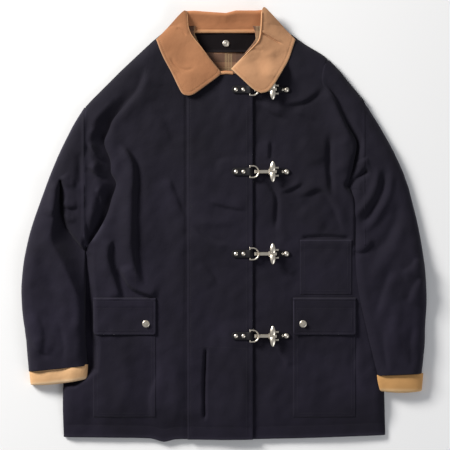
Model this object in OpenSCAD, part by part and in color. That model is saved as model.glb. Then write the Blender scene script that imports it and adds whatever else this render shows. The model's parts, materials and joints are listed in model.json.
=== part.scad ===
// Turnout-style coat, laid flat on its back on a surface.
// +X is the wearer's left, +Y runs from hem to collar, +Z comes up out of the
// fronts. Each layer of cloth is a thin solid, and the space between the back
// and the fronts is open, from the hem to the neck and out through both sleeves.

/* [Coat] */
// Half width of the hem
hem_half = 323; // [290:1:340]
// Height of the hem's corners, measured from the middle of the coat
hem_y = -423; // [-430:1:-415]
// Lowest point of the hem, at its middle
hem_low_y = -435; // [-435:1:-425]
// Half width of the body between its two armholes
armhole_half = 277; // [265:1:285]
// Height of the underarm
underarm_y = -42; // [-60:1:-30]
// Height of the shoulder's end
shoulder_y = 246; // [235:1:250]
// Height of the seam that joins the collar to the back
neck_y = 387; // [380:1:390]

/* [Cloth] */
// Thickness of the outer cotton as it lies, seam allowances included
shell_t = 3; // [2:0.5:3]
// Thickness of the lining
lining_t = 1.6; // [1:0.1:1.6]
// Height of the body's cavity, from back shell to front lining
cavity_h = 13.4; // [10:0.1:13.4]
// Width of the seam strips that join front to back
seam_w = 4; // [3:0.5:6]
// Depth of a patch pocket's open pouch
pouch_h = 5; // [4.5:0.1:5]

/* [Front] */
// Edge of the overlapping right front
overlap_x = 57; // [50:1:57]
// Stitched inner edge of the placket
placket_x = -78; // [-85:1:-70]
// Edge of the left front, under the placket
underlap_x = -40; // [-50:1:-30]
// Distance between two clasps
clasp_pitch = 164; // [150:1:164]
// Height of the lowest clasp
clasp_low_y = -221; // [-230:1:-215]

/* [Clasps] */
// Thickness of the dee ring's wire
ring_wire = 3; // [2.5:0.1:3]
// Height of the dee ring, measured along the front edge
ring_h = 26; // [24:0.5:28]
// Distance from a dee ring's bar to the front edge
ring_inset = 6; // [5:0.5:6]
// Span of the lever's two wings
wing_span = 42; // [36:1:44]
// Radial clearance of a bar or pin in its loop
bore_gap = 0.06; // [0.02:0.01:0.1]

/* [Sleeves] */
// Height of the cuff's upper edge
cuff_y = -285; // [-290:1:-280]
// Depth of the turned cuff
cuff_d = 32; // [28:1:36]
// Thickness of the turned cuff
cuff_t = 4; // [3:0.5:4]

/* [Collar] */
// Height of the collar leaves above the floor
leaf_z = 38; // [38:0.5:40]
// Thickness of a collar leaf
leaf_t = 4; // [3:0.5:5]

/* [Pockets] */
// Half-way line of the hip pockets
hip_x = 200; // [195:1:205]
// Width of the hip pockets
hip_w = 126; // [110:1:128]
// Depth of a pocket flap
flap_d = 66; // [60:1:70]
// Diameter of the snap caps
cap_d = 15; // [12:1:16]

/* [Hidden] */

$fn = 48;
navy = [0.11, 0.11, 0.15];
navy_light = [0.16, 0.16, 0.21];
plaid = [0.42, 0.34, 0.26];
tan = [0.74, 0.54, 0.37];
tan_dark = [0.62, 0.40, 0.23];
nickel = [0.80, 0.80, 0.78];
strap_black = [0.07, 0.07, 0.08];

// heights of the layers, from the floor up
lining_z = shell_t;
front_lining_z = lining_z + lining_t + cavity_h - lining_t;
front_z = front_lining_z + lining_t;
front_top = front_z + shell_t;
placket_z = front_top + 0.5;
placket_top = placket_z + 5;
sleeve_z = front_top + 1.5;
sleeve_top = sleeve_z + shell_t;
pouch_top = front_top + pouch_h + 2.5;
flap_z = pouch_top + 2.5;
flap_t = 2.5;
fit = 0.6;

// cubic curve through two ends, shaped by two handles
function curve(a, b, c, d, n) = [for (i = [0:n]) let (t = i / n, s = 1 - t)
    s*s*s*a + 3*s*s*t*b + 3*s*t*t*c + t*t*t*d];
function reversed(p) = [for (i = [len(p) - 1:-1:0]) p[i]];
// p moved sideways by w, to the left of its run
function beside(p, w) = [for (i = [0:len(p) - 1]) let (
    a = p[max(i - 1, 0)], b = p[min(i + 1, len(p) - 1)], t = (b - a) / norm(b - a))
    p[i] + w * [-t.y, t.x]];
function strip(p, w) = concat(p, reversed(beside(p, w)));

// outlines of the wearer's left half; the right half mirrors them
hem_line = curve([hem_half, hem_y], [200, hem_y - 5], [100, hem_low_y], [0, hem_low_y], 6);
side_line = curve([armhole_half, underarm_y], [300, -140], [322, -250], [hem_half, hem_y], 8);
neck_point = [92, 402];
shoulder_line = curve([armhole_half, shoulder_y], [245, 290], [200, 338], neck_point, 6);
roll_low = [12, 308];
roll_high = [70, 389];
body_half = concat(hem_line, [[0, neck_y], [64, neck_y]], reversed(shoulder_line), side_line);
function hem_at(x) = hem_low_y + (hem_y - hem_low_y) * pow(abs(x) / hem_half, 2);

// fold of the right front's lower corner
fold_top = [overlap_x, 85];
fold_bottom = [-140, -425];
fold_turn = -atan2(fold_top.x - fold_bottom.x, fold_top.y - fold_bottom.y);

// clasps, numbered from the top
function clasp_y(i) = clasp_low_y + (4 - i) * clasp_pitch;
ring_x = overlap_x - ring_inset;
ring_z = placket_top + 2.9;
ring_reach = 17;
ring_gap = 1.7;
hook_z = ring_z - ring_wire / 2 - ring_gap - 3.2;
hook_x = overlap_x + 50;
hook_pin_z = hook_z + 1.6;
lever_x = hook_x - 17;
lever_z = hook_pin_z + 6.4;
// radius of the two arcs that bound a wing 10 mm wide
wing_r = (pow(wing_span / 4, 2) + 25) / 10;
strap_w = 12;
tab_w = 16;

// sleeve outlines
arm_outer = curve([armhole_half + fit, shoulder_y - 4], [350, 125], [437, -95], [392, cuff_y], 12);
arm_under = concat([[armhole_half + fit, underarm_y]],
    [for (p = side_line) if (p.y < underarm_y - 1 && p.y > cuff_y) p + [2, 0]],
    [[321, cuff_y]]);
arm_inner = [[armhole_half + fit, underarm_y], [283, -150], [277, cuff_y]];

module plate(points, z, t) { translate([0, 0, z]) linear_extrude(t) polygon(points); }
module both_sides() { children(); mirror([1, 0, 0]) children(); }
module cap(d, h) {
    r = (d * d / 4 + h * h) / (2 * h);
    intersection() {
        translate([0, 0, h - r]) sphere(r, $fn = 64);
        cylinder(d = d, h = h);
    }
}
module along_y(d, length) { rotate([90, 0, 0]) cylinder(d = d, h = length, center = true); }
// the moving side of the right front's fold, set back by gap
module past_fold(gap) {
    translate([fold_top.x, fold_top.y, -1]) rotate(fold_turn)
        translate([gap, -700, 0]) cube([500, 800, 60]);
}

// ---- body of the coat ----
module back_panel() color(navy) {
    linear_extrude(shell_t) union() {
        polygon(body_half);
        mirror([1, 0]) polygon(body_half);
    }
}
lining_half = concat([[0, hem_low_y + 22]], [[300, hem_low_y + 30]],
    reversed(beside(side_line, -12)), [[264, shoulder_y - 6]], [[88, 388]], [[64, 382]], [[0, 382]]);
module back_lining() color(plaid) {
    translate([0, 0, lining_z]) linear_extrude(lining_t) union() {
        polygon(lining_half);
        mirror([1, 0]) polygon(lining_half);
    }
}
facing_half = concat([[0, 382], [64, 382]], curve([64, 382], [60, 352], [30, 350], [0, 350], 6));
module neck_facing() color(navy_light) {
    translate([0, 0, lining_z + lining_t]) linear_extrude(1.4) union() {
        polygon(facing_half);
        mirror([1, 0]) polygon(facing_half);
    }
}
module neck_snap() color(nickel) translate([3, 365, lining_z + lining_t + 1.4]) cap(cap_d, 2);

left_front = concat([[underlap_x, hem_at(underlap_x)]], [[0, hem_low_y]],
    reversed([for (p = hem_line) if (p.x > 0) p]), reversed(side_line),
    shoulder_line, [roll_high, roll_low, [underlap_x, roll_low.y]]);
module left_front_panel() color(navy) plate(left_front, front_z, shell_t);
front_lining = concat([[62, hem_low_y + 22]], [[300, hem_low_y + 30]],
    reversed(beside(side_line, -12)), [[264, shoulder_y - 6]], [[96, 390]], [[74, 380]], [[62, 366]]);
module left_front_lining() color(plaid) plate(front_lining, front_lining_z, lining_t);

right_front = concat([[60, hem_at(60)]],
    reversed([for (p = hem_line) if (p.x > 60) p]), reversed(side_line),
    shoulder_line, [roll_high, [60, 375]]);
module right_front() { mirror([1, 0, 0]) plate(right_front, front_z, shell_t); }
module right_front_panel() color(navy) difference() { right_front(); past_fold(-fit / 2); }
module front_corner_panel() color(navy) intersection() { right_front(); past_fold(fit / 2); }
module right_lining() { mirror([1, 0, 0]) plate(front_lining, front_lining_z, lining_t); }
module right_front_lining() color(plaid) difference() { right_lining(); past_fold(-fit / 2); }
module front_corner_lining() color(plaid) intersection() { right_lining(); past_fold(fit / 2); }

placket_line = [[overlap_x, hem_at(overlap_x)], [overlap_x, roll_low.y],
    [-roll_low.x, roll_low.y], [-roll_high.x, roll_high.y], [placket_x, 386],
    [placket_x, hem_at(placket_x)], [0, hem_low_y]];
module placket_strip() { plate(placket_line, placket_z, placket_top - placket_z); }
module placket() color(navy) difference() { placket_strip(); past_fold(-fit / 2); }
module placket_corner() color(navy) intersection() { placket_strip(); past_fold(fit / 2); }

// felled seams that close the sides and shoulders
module seam_strips() color(navy_light) both_sides() {
    h = front_lining_z - shell_t;
    plate(strip(side_line, -seam_w), shell_t, h + lining_t);
    plate(strip(shoulder_line, seam_w), shell_t, h + lining_t);
}

// ---- collar ----
band_y = neck_y + fit;
band_half = [[0, band_y], [64, band_y], [79, 428], [66, 435], [0, 433]];
module band(t) {
    linear_extrude(t) union() {
        polygon(band_half);
        mirror([1, 0]) polygon(band_half);
    }
}
module under_collar() color(tan_dark) band(5);
module collar_band() color(tan_dark) translate([0, 0, 5]) band(4.5);
stand_w = 7;
roll_run = (roll_high - roll_low) / norm(roll_high - roll_low);
roll_out = [roll_run.y, -roll_run.x];
module stand(bottom) {
    plate([roll_low, roll_high, roll_high + stand_w * roll_out, roll_low + stand_w * roll_out],
        bottom, leaf_z + leaf_t - bottom);
}
module collar_stand() color(tan_dark) {
    difference() {
        stand(front_top);
        // the placket's top edge runs under the stand's lower end
        translate([-20, 200, 0]) cube([100, roll_low.y + fit - 200, placket_top]);
    }
    mirror([1, 0, 0]) stand(placket_top);
}
leaf_root = stand_w + fit;
leaf_half = concat([roll_low + leaf_root * roll_out, roll_high + leaf_root * roll_out,
    [99, 424], [144, 374], [107, 272]], curve([107, 272], [101, 258], [86, 255], [70, 263], 4), [[26, 300]]);
module leaf() { plate(leaf_half, leaf_z, leaf_t); }
module left_collar_leaf() color(tan) leaf();
module right_collar_leaf() color(tan) mirror([1, 0, 0]) leaf();

// ---- pockets ----
// a patch stitched along its sides and bottom, with its mouth at the top
module pouch(x, top, w, d) {
    translate([x - w / 2, top - d, front_top]) difference() {
        cube([w, d, pouch_h + 2.5]);
        translate([seam_w, seam_w, -1]) cube([w - 2 * seam_w, d, pouch_h + 1]);
    }
}
chest_x = 203;
chest_top = -29;
chest_w = 104;
chest_d = 110;
module chest_pocket() color(navy) pouch(chest_x, chest_top, chest_w, chest_d);
flap_y = -153;
hip_top = -166;
hip_d = 219;
module hip_pocket() {
    pouch(hip_x, hip_top, hip_w, hip_d);
    translate([hip_x - hip_w / 2, flap_y + fit / 2, front_top])
        cube([hip_w, 8, flap_z + flap_t - front_top]);
}
snap_x = 157;
snap_y = -197;
module left_hip_pocket() color(navy) hip_pocket();
module right_hip_pocket() color(navy) mirror([1, 0, 0]) hip_pocket();
module pocket_snap_studs() color(nickel) both_sides()
    translate([snap_x, snap_y, pouch_top]) {
        cylinder(d = 10, h = 0.6);
        cylinder(d = 4, h = 2);
    }
module flap() {
    translate([hip_x - hip_w / 2, flap_y - flap_d, flap_z])
        cube([hip_w, flap_d - fit / 2, flap_t]);
}
module flap_cap() { translate([snap_x, snap_y, flap_z + flap_t]) cap(cap_d, 2.2); }
module left_pocket_flap() color(navy) flap();
module left_flap_snap_cap() color(nickel) flap_cap();
module right_pocket_flap() color(navy) mirror([1, 0, 0]) flap();
module right_flap_snap_cap() color(nickel) mirror([1, 0, 0]) flap_cap();

// ---- sleeves ----
module upper_sleeve() { plate(concat(arm_outer, reversed(arm_inner)), sleeve_z, shell_t); }
module under_sleeve() { plate(concat(arm_outer, reversed(arm_under)), 0, shell_t); }
module sleeve_seams() {
    intersection() {
        plate(strip(arm_outer, -seam_w), shell_t, sleeve_z - shell_t);
        translate([armhole_half + fit, -500, 0]) cube([200, 1000, 60]);
    }
    plate(strip(arm_under, seam_w), shell_t, sleeve_z - shell_t);
}
module cuff() {
    low = cuff_y - cuff_d;
    difference() {
        plate([[274, cuff_y - 0.2], [275, low + 3], [390, low], [394, cuff_y - 0.2]],
            0, sleeve_top + 1.5);
        // room for the arm
        plate([[329, cuff_y + 1], [328, low - 1], [385, low - 1], [389, cuff_y + 1]],
            cuff_t, sleeve_z - cuff_t - 0.5);
        // the cuff lies on the coat's side
        translate([250, low - 1, -1]) cube([326 - 250, cuff_d + 2, front_top + 2]);
    }
}
module left_upper_sleeve() color(navy) upper_sleeve();
module left_under_sleeve() color(navy) under_sleeve();
module left_sleeve_seams() color(navy_light) sleeve_seams();
module left_cuff() color(tan) cuff();
module right_upper_sleeve() color(navy) mirror([1, 0, 0]) upper_sleeve();
module right_under_sleeve() color(navy) mirror([1, 0, 0]) under_sleeve();
module right_sleeve_seams() color(navy_light) mirror([1, 0, 0]) sleeve_seams();
module right_cuff() color(tan) mirror([1, 0, 0]) cuff();

// ---- clasps ----
// a strap folded round the ring's bar and riveted down
module ring_tab() {
    difference() {
        union() {
            translate([ring_x - 37, -tab_w / 2, placket_top]) cube([37, tab_w, 2.5]);
            translate([ring_x, 0, ring_z]) along_y(5.8, tab_w);
        }
        translate([ring_x, 0, ring_z]) along_y(ring_wire + 2 * bore_gap, tab_w + 2);
    }
}
module tab_rivets() {
    for (x = [28, 13]) translate([ring_x - x, 0, placket_top + 2.5]) cap(8, 2);
}
module upper_ring_tabs() color(strap_black) for (i = [1, 2]) translate([0, clasp_y(i), 0]) ring_tab();
module lower_ring_tabs() color(strap_black) for (i = [3, 4]) translate([0, clasp_y(i), 0]) ring_tab();
module upper_tab_rivets() color(nickel) for (i = [1, 2]) translate([0, clasp_y(i), 0]) tab_rivets();
module lower_tab_rivets() color(nickel) for (i = [3, 4]) translate([0, clasp_y(i), 0]) tab_rivets();
module dee_ring(i) {
    bend = (ring_h - ring_wire) / 2;
    translate([ring_x, clasp_y(i), ring_z]) {
        along_y(ring_wire, 2 * bend);
        for (side = [-1, 1]) translate([0, side * bend, 0]) {
            sphere(d = ring_wire);
            rotate([0, 90, 0]) cylinder(d = ring_wire, h = ring_reach - bend);
        }
        translate([ring_reach - bend, 0, 0]) rotate(-90)
            rotate_extrude(angle = 180, $fn = 96) translate([bend, 0]) circle(d = ring_wire);
    }
}
module hook_strap(i) {
    translate([hook_x, clasp_y(i), 0]) difference() {
        union() {
            translate([0, -strap_w / 2, front_top]) cube([24, strap_w, 2.2]);
            translate([0, 0, hook_pin_z]) along_y(5.8, strap_w);
        }
        translate([0, 0, hook_pin_z]) along_y(ring_wire + 2 * bore_gap, strap_w + 2);
    }
}
module hook_straps() color(strap_black) for (i = [1:4]) hook_strap(i);
module hook_strap_rivets() color(nickel) for (i = [1:4]) translate([hook_x, clasp_y(i), front_top + 2.2]) {
    translate([17, 0, 0]) cap(10, 2.6);
    translate([9.2, 0, 0]) cap(5, 1.2);
}
// the hook passes under the ring and its claw stands up through it
module hook(i) {
    claw_x = overlap_x + 2.5;
    shank = 6.5;
    lug = 9.5;
    translate([0, clasp_y(i), 0]) {
        translate([claw_x, -shank / 2, hook_z]) cube([hook_x - 7 - claw_x, shank, 3.2]);
        translate([claw_x, -shank / 2, hook_z]) cube([3.8, shank, 7]);
        translate([claw_x + 1.9, 0, hook_z + 7]) along_y(3.8, shank);
        translate([hook_x - 11, -lug, hook_z]) cube([4, 2 * lug, 3.2]);
        for (side = [-1, 1]) translate([0, side * 8, 0]) {
            translate([hook_x - 8, -1.5, hook_z]) cube([8, 3, 3.2]);
            translate([hook_x, 0, hook_pin_z]) along_y(3.2, 3);
        }
        translate([hook_x, 0, hook_pin_z]) along_y(ring_wire, 2 * lug);
        for (side = [-1, 1]) translate([lever_x, side * (shank / 2 + 1), 0]) {
            translate([-2.2, -1, hook_z]) cube([4.4, 2, lever_z - hook_z]);
            translate([0, 0, lever_z]) along_y(4.4, 2);
        }
        translate([lever_x, 0, lever_z]) along_y(2, shank + 4);
    }
}
// thumb lever: its jaw closes the mouth beside the claw, its wings are pressed
module lever(i) {
    translate([lever_x, clasp_y(i), lever_z]) difference() {
        union() {
            along_y(4.4, 5.9);
            translate([-19.4, -2.75, -1.4]) cube([19.4, 5.5, 2]);
            translate([0.5, -2.75, -0.8]) cube([13.5, 5.5, 5.6]);
            translate([6.2, 0, 2.8]) for (side = [-1, 1]) translate([0, side * wing_span / 4, 0])
                intersection_for (x = [-1, 1]) translate([x * (wing_r - 5), 0, 0])
                    cylinder(r = wing_r, h = 1.6);
        }
        along_y(2 + 2 * bore_gap, 8);
    }
}
module lever_spring(i) {
    translate([lever_x - 6, clasp_y(i) - 2.2, hook_z + 3.2]) cube([19, 4.4, 0.7]);
}

back_panel();
back_lining();
neck_facing();
neck_snap();
left_front_panel();
left_front_lining();
right_front_panel();
right_front_lining();
placket();
seam_strips();
collar_band();
under_collar();
collar_stand();
chest_pocket();
left_hip_pocket();
right_hip_pocket();
pocket_snap_studs();
upper_ring_tabs();
upper_tab_rivets();
hook_straps();
hook_strap_rivets();
front_corner_panel();
front_corner_lining();
placket_corner();
lower_ring_tabs();
lower_tab_rivets();
left_collar_leaf();
right_collar_leaf();
left_pocket_flap();
left_flap_snap_cap();
right_pocket_flap();
right_flap_snap_cap();
left_upper_sleeve();
left_under_sleeve();
left_sleeve_seams();
left_cuff();
right_upper_sleeve();
right_under_sleeve();
right_sleeve_seams();
right_cuff();
color(nickel) hook(1);  // hook_1
color(nickel) hook(2);  // hook_2
color(nickel) hook(3);  // hook_3
color(nickel) hook(4);  // hook_4
color(nickel) lever_spring(1);  // lever_spring_1
color(nickel) lever_spring(2);  // lever_spring_2
color(nickel) lever_spring(3);  // lever_spring_3
color(nickel) lever_spring(4);  // lever_spring_4
color(nickel) lever(1);  // lever_1
color(nickel) lever(2);  // lever_2
color(nickel) lever(3);  // lever_3
color(nickel) lever(4);  // lever_4
color(nickel) dee_ring(1);  // dee_ring_1
color(nickel) dee_ring(2);  // dee_ring_2
color(nickel) dee_ring(3);  // dee_ring_3
color(nickel) dee_ring(4);  // dee_ring_4
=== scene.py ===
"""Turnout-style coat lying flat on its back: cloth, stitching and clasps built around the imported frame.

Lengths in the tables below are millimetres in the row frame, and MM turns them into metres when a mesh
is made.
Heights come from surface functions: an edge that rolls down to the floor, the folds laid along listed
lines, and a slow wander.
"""
import json
import math

import bmesh
import bpy
import numpy as np
from mathutils import Matrix, Vector
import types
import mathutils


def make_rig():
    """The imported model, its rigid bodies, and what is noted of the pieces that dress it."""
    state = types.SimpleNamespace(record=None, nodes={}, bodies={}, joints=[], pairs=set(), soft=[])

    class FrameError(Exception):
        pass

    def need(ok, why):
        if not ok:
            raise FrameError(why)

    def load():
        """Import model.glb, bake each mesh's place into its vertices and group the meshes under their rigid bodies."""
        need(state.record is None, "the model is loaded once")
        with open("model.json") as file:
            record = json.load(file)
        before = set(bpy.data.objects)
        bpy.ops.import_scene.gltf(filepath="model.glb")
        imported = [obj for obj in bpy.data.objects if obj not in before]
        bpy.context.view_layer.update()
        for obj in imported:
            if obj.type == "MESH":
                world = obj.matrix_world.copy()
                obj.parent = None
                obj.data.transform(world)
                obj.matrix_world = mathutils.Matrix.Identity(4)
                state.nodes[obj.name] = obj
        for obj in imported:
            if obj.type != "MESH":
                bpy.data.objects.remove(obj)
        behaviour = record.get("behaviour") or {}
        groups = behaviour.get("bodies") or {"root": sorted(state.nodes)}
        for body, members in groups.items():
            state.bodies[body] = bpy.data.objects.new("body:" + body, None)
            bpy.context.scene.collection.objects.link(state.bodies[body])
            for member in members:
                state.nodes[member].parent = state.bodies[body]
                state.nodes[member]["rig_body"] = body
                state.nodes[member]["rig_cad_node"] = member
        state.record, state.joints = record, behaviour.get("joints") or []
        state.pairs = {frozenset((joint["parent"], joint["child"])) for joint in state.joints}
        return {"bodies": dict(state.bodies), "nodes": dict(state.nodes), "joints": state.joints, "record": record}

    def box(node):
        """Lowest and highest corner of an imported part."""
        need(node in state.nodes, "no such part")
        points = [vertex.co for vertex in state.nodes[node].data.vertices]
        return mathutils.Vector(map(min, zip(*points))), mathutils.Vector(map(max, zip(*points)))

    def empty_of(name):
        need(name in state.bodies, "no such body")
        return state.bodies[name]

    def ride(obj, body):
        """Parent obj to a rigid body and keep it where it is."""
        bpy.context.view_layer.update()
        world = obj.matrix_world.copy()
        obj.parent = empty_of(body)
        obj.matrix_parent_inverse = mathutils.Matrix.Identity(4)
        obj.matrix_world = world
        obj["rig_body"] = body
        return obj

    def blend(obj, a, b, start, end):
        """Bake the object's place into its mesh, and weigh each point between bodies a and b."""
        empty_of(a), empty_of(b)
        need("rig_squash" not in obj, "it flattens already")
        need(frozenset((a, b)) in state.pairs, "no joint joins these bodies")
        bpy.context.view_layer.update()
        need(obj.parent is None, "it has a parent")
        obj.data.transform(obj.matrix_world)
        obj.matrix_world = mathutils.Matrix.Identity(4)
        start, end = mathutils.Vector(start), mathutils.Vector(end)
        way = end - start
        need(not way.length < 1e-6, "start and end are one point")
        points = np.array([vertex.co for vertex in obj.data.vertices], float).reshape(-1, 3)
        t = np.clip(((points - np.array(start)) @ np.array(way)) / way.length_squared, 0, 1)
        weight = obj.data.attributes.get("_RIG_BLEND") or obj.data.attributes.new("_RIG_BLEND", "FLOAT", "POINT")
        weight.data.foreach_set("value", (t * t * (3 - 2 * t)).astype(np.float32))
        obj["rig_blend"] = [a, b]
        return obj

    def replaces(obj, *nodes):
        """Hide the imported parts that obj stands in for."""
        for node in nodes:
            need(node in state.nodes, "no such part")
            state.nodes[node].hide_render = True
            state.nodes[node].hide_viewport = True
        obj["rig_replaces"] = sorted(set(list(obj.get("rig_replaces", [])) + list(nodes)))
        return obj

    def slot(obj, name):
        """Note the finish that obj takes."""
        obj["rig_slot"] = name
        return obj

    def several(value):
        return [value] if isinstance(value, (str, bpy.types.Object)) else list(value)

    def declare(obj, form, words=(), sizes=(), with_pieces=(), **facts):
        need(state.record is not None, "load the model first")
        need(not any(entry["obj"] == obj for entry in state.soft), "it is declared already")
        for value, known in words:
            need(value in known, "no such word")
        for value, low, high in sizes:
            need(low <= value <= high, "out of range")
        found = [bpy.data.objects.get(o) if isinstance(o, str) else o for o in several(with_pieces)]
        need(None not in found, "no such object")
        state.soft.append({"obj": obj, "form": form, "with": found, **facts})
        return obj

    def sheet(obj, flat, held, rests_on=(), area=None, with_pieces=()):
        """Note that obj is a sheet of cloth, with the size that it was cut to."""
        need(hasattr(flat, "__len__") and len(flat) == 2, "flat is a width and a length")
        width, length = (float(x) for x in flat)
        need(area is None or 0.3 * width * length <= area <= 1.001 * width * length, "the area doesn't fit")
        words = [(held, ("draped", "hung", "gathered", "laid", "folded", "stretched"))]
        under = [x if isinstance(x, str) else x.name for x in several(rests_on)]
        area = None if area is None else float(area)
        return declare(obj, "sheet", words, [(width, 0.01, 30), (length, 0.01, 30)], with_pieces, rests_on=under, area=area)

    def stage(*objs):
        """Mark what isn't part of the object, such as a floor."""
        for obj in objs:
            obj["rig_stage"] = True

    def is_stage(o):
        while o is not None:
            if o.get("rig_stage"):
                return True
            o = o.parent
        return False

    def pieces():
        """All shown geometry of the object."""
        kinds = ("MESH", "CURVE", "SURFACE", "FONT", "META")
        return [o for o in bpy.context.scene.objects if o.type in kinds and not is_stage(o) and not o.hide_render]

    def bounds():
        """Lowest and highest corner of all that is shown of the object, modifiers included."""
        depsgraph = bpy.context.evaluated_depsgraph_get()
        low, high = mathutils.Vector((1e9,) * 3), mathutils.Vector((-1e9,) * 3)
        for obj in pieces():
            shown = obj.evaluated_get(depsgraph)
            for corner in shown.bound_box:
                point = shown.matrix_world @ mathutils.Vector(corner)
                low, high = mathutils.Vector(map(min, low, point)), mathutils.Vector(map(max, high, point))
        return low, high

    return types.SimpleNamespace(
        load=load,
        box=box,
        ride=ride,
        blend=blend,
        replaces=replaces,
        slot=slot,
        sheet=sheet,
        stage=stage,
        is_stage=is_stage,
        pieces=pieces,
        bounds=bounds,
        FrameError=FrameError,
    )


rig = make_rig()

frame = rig.load()
cad_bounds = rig.bounds()
MM = 0.001
TURNING = 0.012

# ---------------------------------------------------------------- camera, light and floor
VIEW_CENTRE = (0.001, 0.0006)
CAMERA_HEIGHT = 3.6
VIEW_WIDTH = 0.9


def make_camera():
    data = bpy.data.cameras.new("camera")
    data.sensor_width = 36
    data.lens = 36 * CAMERA_HEIGHT / VIEW_WIDTH
    data.clip_end = 20
    camera = bpy.data.objects.new("camera", data)
    camera.location = (*VIEW_CENTRE, CAMERA_HEIGHT + 0.02)
    bpy.context.scene.collection.objects.link(camera)
    bpy.context.scene.camera = camera


def area_light(name, place, size, power, colour):
    data = bpy.data.lights.new(name, "AREA")
    data.shape = "RECTANGLE"
    data.size, data.size_y = size
    data.energy = power
    data.color = colour
    light = bpy.data.objects.new(name, data)
    light.location = place
    light.rotation_euler = (-Vector(place)).to_track_quat("-Z", "Y").to_euler()
    bpy.context.scene.collection.objects.link(light)


def make_stage():
    bpy.context.scene.view_settings.view_transform = "Standard"
    world = bpy.data.worlds.new("studio")
    world.use_nodes = True
    back = world.node_tree.nodes["Background"]
    back.inputs["Color"].default_value = (0.96, 0.97, 1.0, 1)
    back.inputs["Strength"].default_value = 0.24
    bpy.context.scene.world = world
    area_light("key", (-3.0, 2.3, 1.95), (1.5, 1.2), 265, (1.0, 0.985, 0.96))
    area_light("fill", (2.4, -2.0, 2.2), (2.0, 1.6), 30, (0.92, 0.95, 1.0))
    mesh = bpy.data.meshes.new("floor")
    half = 6.0
    mesh.from_pydata([(-half, -half, 0), (half, -half, 0), (half, half, 0), (-half, half, 0)], [],
                     [(0, 1, 2, 3)])
    floor = bpy.data.objects.new("floor", mesh)
    floor.location.z = -0.0006
    bpy.context.scene.collection.objects.link(floor)
    material = bpy.data.materials.new("floor")
    material.use_nodes = True
    shader = material.node_tree.nodes["Principled BSDF"]
    shader.inputs["Base Color"].default_value = (0.93, 0.93, 0.93, 1)
    shader.inputs["Roughness"].default_value = 0.9
    shader.inputs["Specular IOR Level"].default_value = 0.1
    mesh.materials.append(material)
    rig.stage(floor)


# ---------------------------------------------------------------- curves and distances
def smooth(points, step=6.0):
    """A Catmull-Rom curve through points, with a point about every step."""
    p = np.array(points, float)
    p = np.vstack([2 * p[0] - p[1], p, 2 * p[-1] - p[-2]])
    out = []
    for a, b, c, d in zip(p[:-3], p[1:-2], p[2:-1], p[3:]):
        n = max(2, int(np.linalg.norm(c - b) / step))
        t = np.arange(n)[:, None] / n
        out.append(0.5 * (2 * b + (c - a) * t + (2 * a - 5 * b + 4 * c - d) * t**2 + (3 * b - a - 3 * c + d) * t**3))
    return np.vstack(out + [p[-2][None]])


def near(x, y, path):
    """(distance, signed distance with the left of the path positive, place along it from 0 to 1)."""
    best = np.full(x.shape, 1e9)
    side = np.zeros(x.shape)
    along = np.zeros(x.shape)
    lengths = np.linalg.norm(np.diff(path, axis=0), axis=1)
    total, run = lengths.sum(), 0.0
    for (ax, ay), (bx, by), length in zip(path[:-1], path[1:], lengths):
        ux, uy = (bx - ax) / length, (by - ay) / length
        t = np.clip((x - ax) * ux + (y - ay) * uy, 0, length)
        dx, dy = x - ax - t * ux, y - ay - t * uy
        d = dx * dx + dy * dy
        closer = d < best
        best = np.where(closer, d, best)
        side = np.where(closer, ux * dy - uy * dx, side)
        along = np.where(closer, (run + t) / total, along)
        run += length
    d = np.sqrt(best)
    return d, np.where(side < 0, -d, d), along


def inside(x, y, polygon):
    """Signed distance to a closed polygon, positive inside."""
    p = np.array(polygon, float)
    d = near(x, y, np.vstack([p, p[:1]]))[0]
    hit = np.zeros(x.shape, bool)
    for (ax, ay), (bx, by) in zip(p, np.roll(p, -1, axis=0)):
        cross = (ay > y) != (by > y)
        hit ^= cross & (x < (bx - ax) * (y - ay) / (by - ay + 1e-12) + ax)
    return np.where(hit, d, -d)


def ease(t):
    t = np.clip(t, 0, 1)
    return t * t * (3 - 2 * t)


def rolled(d, radius):
    """0 at an edge, 1 further in than radius, along a quarter circle."""
    t = np.clip(d / radius, 0, 1)
    return np.sqrt(np.clip(1 - (1 - t) ** 2, 0, 1))


def by_height(points, y):
    """x of a line at each y, for a line listed from bottom to top."""
    p = np.array(points, float)
    return np.interp(y, p[:, 1], p[:, 0])


# ---------------------------------------------------------------- outlines of the coat as it lies
HEM_RIGHT, HEM_LEFT = (-323, -425), (323, -421)
SIDE_RIGHT = [(-323, -425), (-325, -370), (-324, -320), (-312, -230), (-299, -150), (-284, -80),
              (-278, -46)]
SIDE_LEFT = [(323, -421), (321, -340), (318, -300), (308, -220), (298, -150), (284, -80), (277, -46)]
SHOULDER_RIGHT = [(-279, 238), (-267, 251), (-237, 281), (-207, 311), (-175, 341), (-143, 371),
                  (-110, 397), (-92, 403)]
SHOULDER_LEFT = [(280, 249), (253, 281), (229, 311), (199, 341), (149, 371), (114, 397), (92, 403)]
ARMHOLE = 280
ROLL_RIGHT = [(-11, 306), (-42, 347), (-72, 389)]
ROLL_LEFT = [(13, 315), (40, 344), (68, 373), (70, 389)]
PLACKET_EDGE, PLACKET_SEAM = 57, -74

# the deep folds where the shoulders' cloth tucks in under the fronts, from bottom to top
TUCK_RIGHT = smooth([(-278, -46), (-256, -16), (-236, 21), (-226, 54), (-217, 84), (-227, 104),
                     (-229, 131), (-241, 164),
              (-232, 191), (-222, 214), (-196, 244), (-171, 274), (-156, 311), (-150, 362)])
TUCK_LEFT = smooth([(277, -46), (268, 40), (250, 78), (259, 124), (264, 167), (244, 204), (221, 254),
                    (199, 286),
                    (205, 331)])

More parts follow.
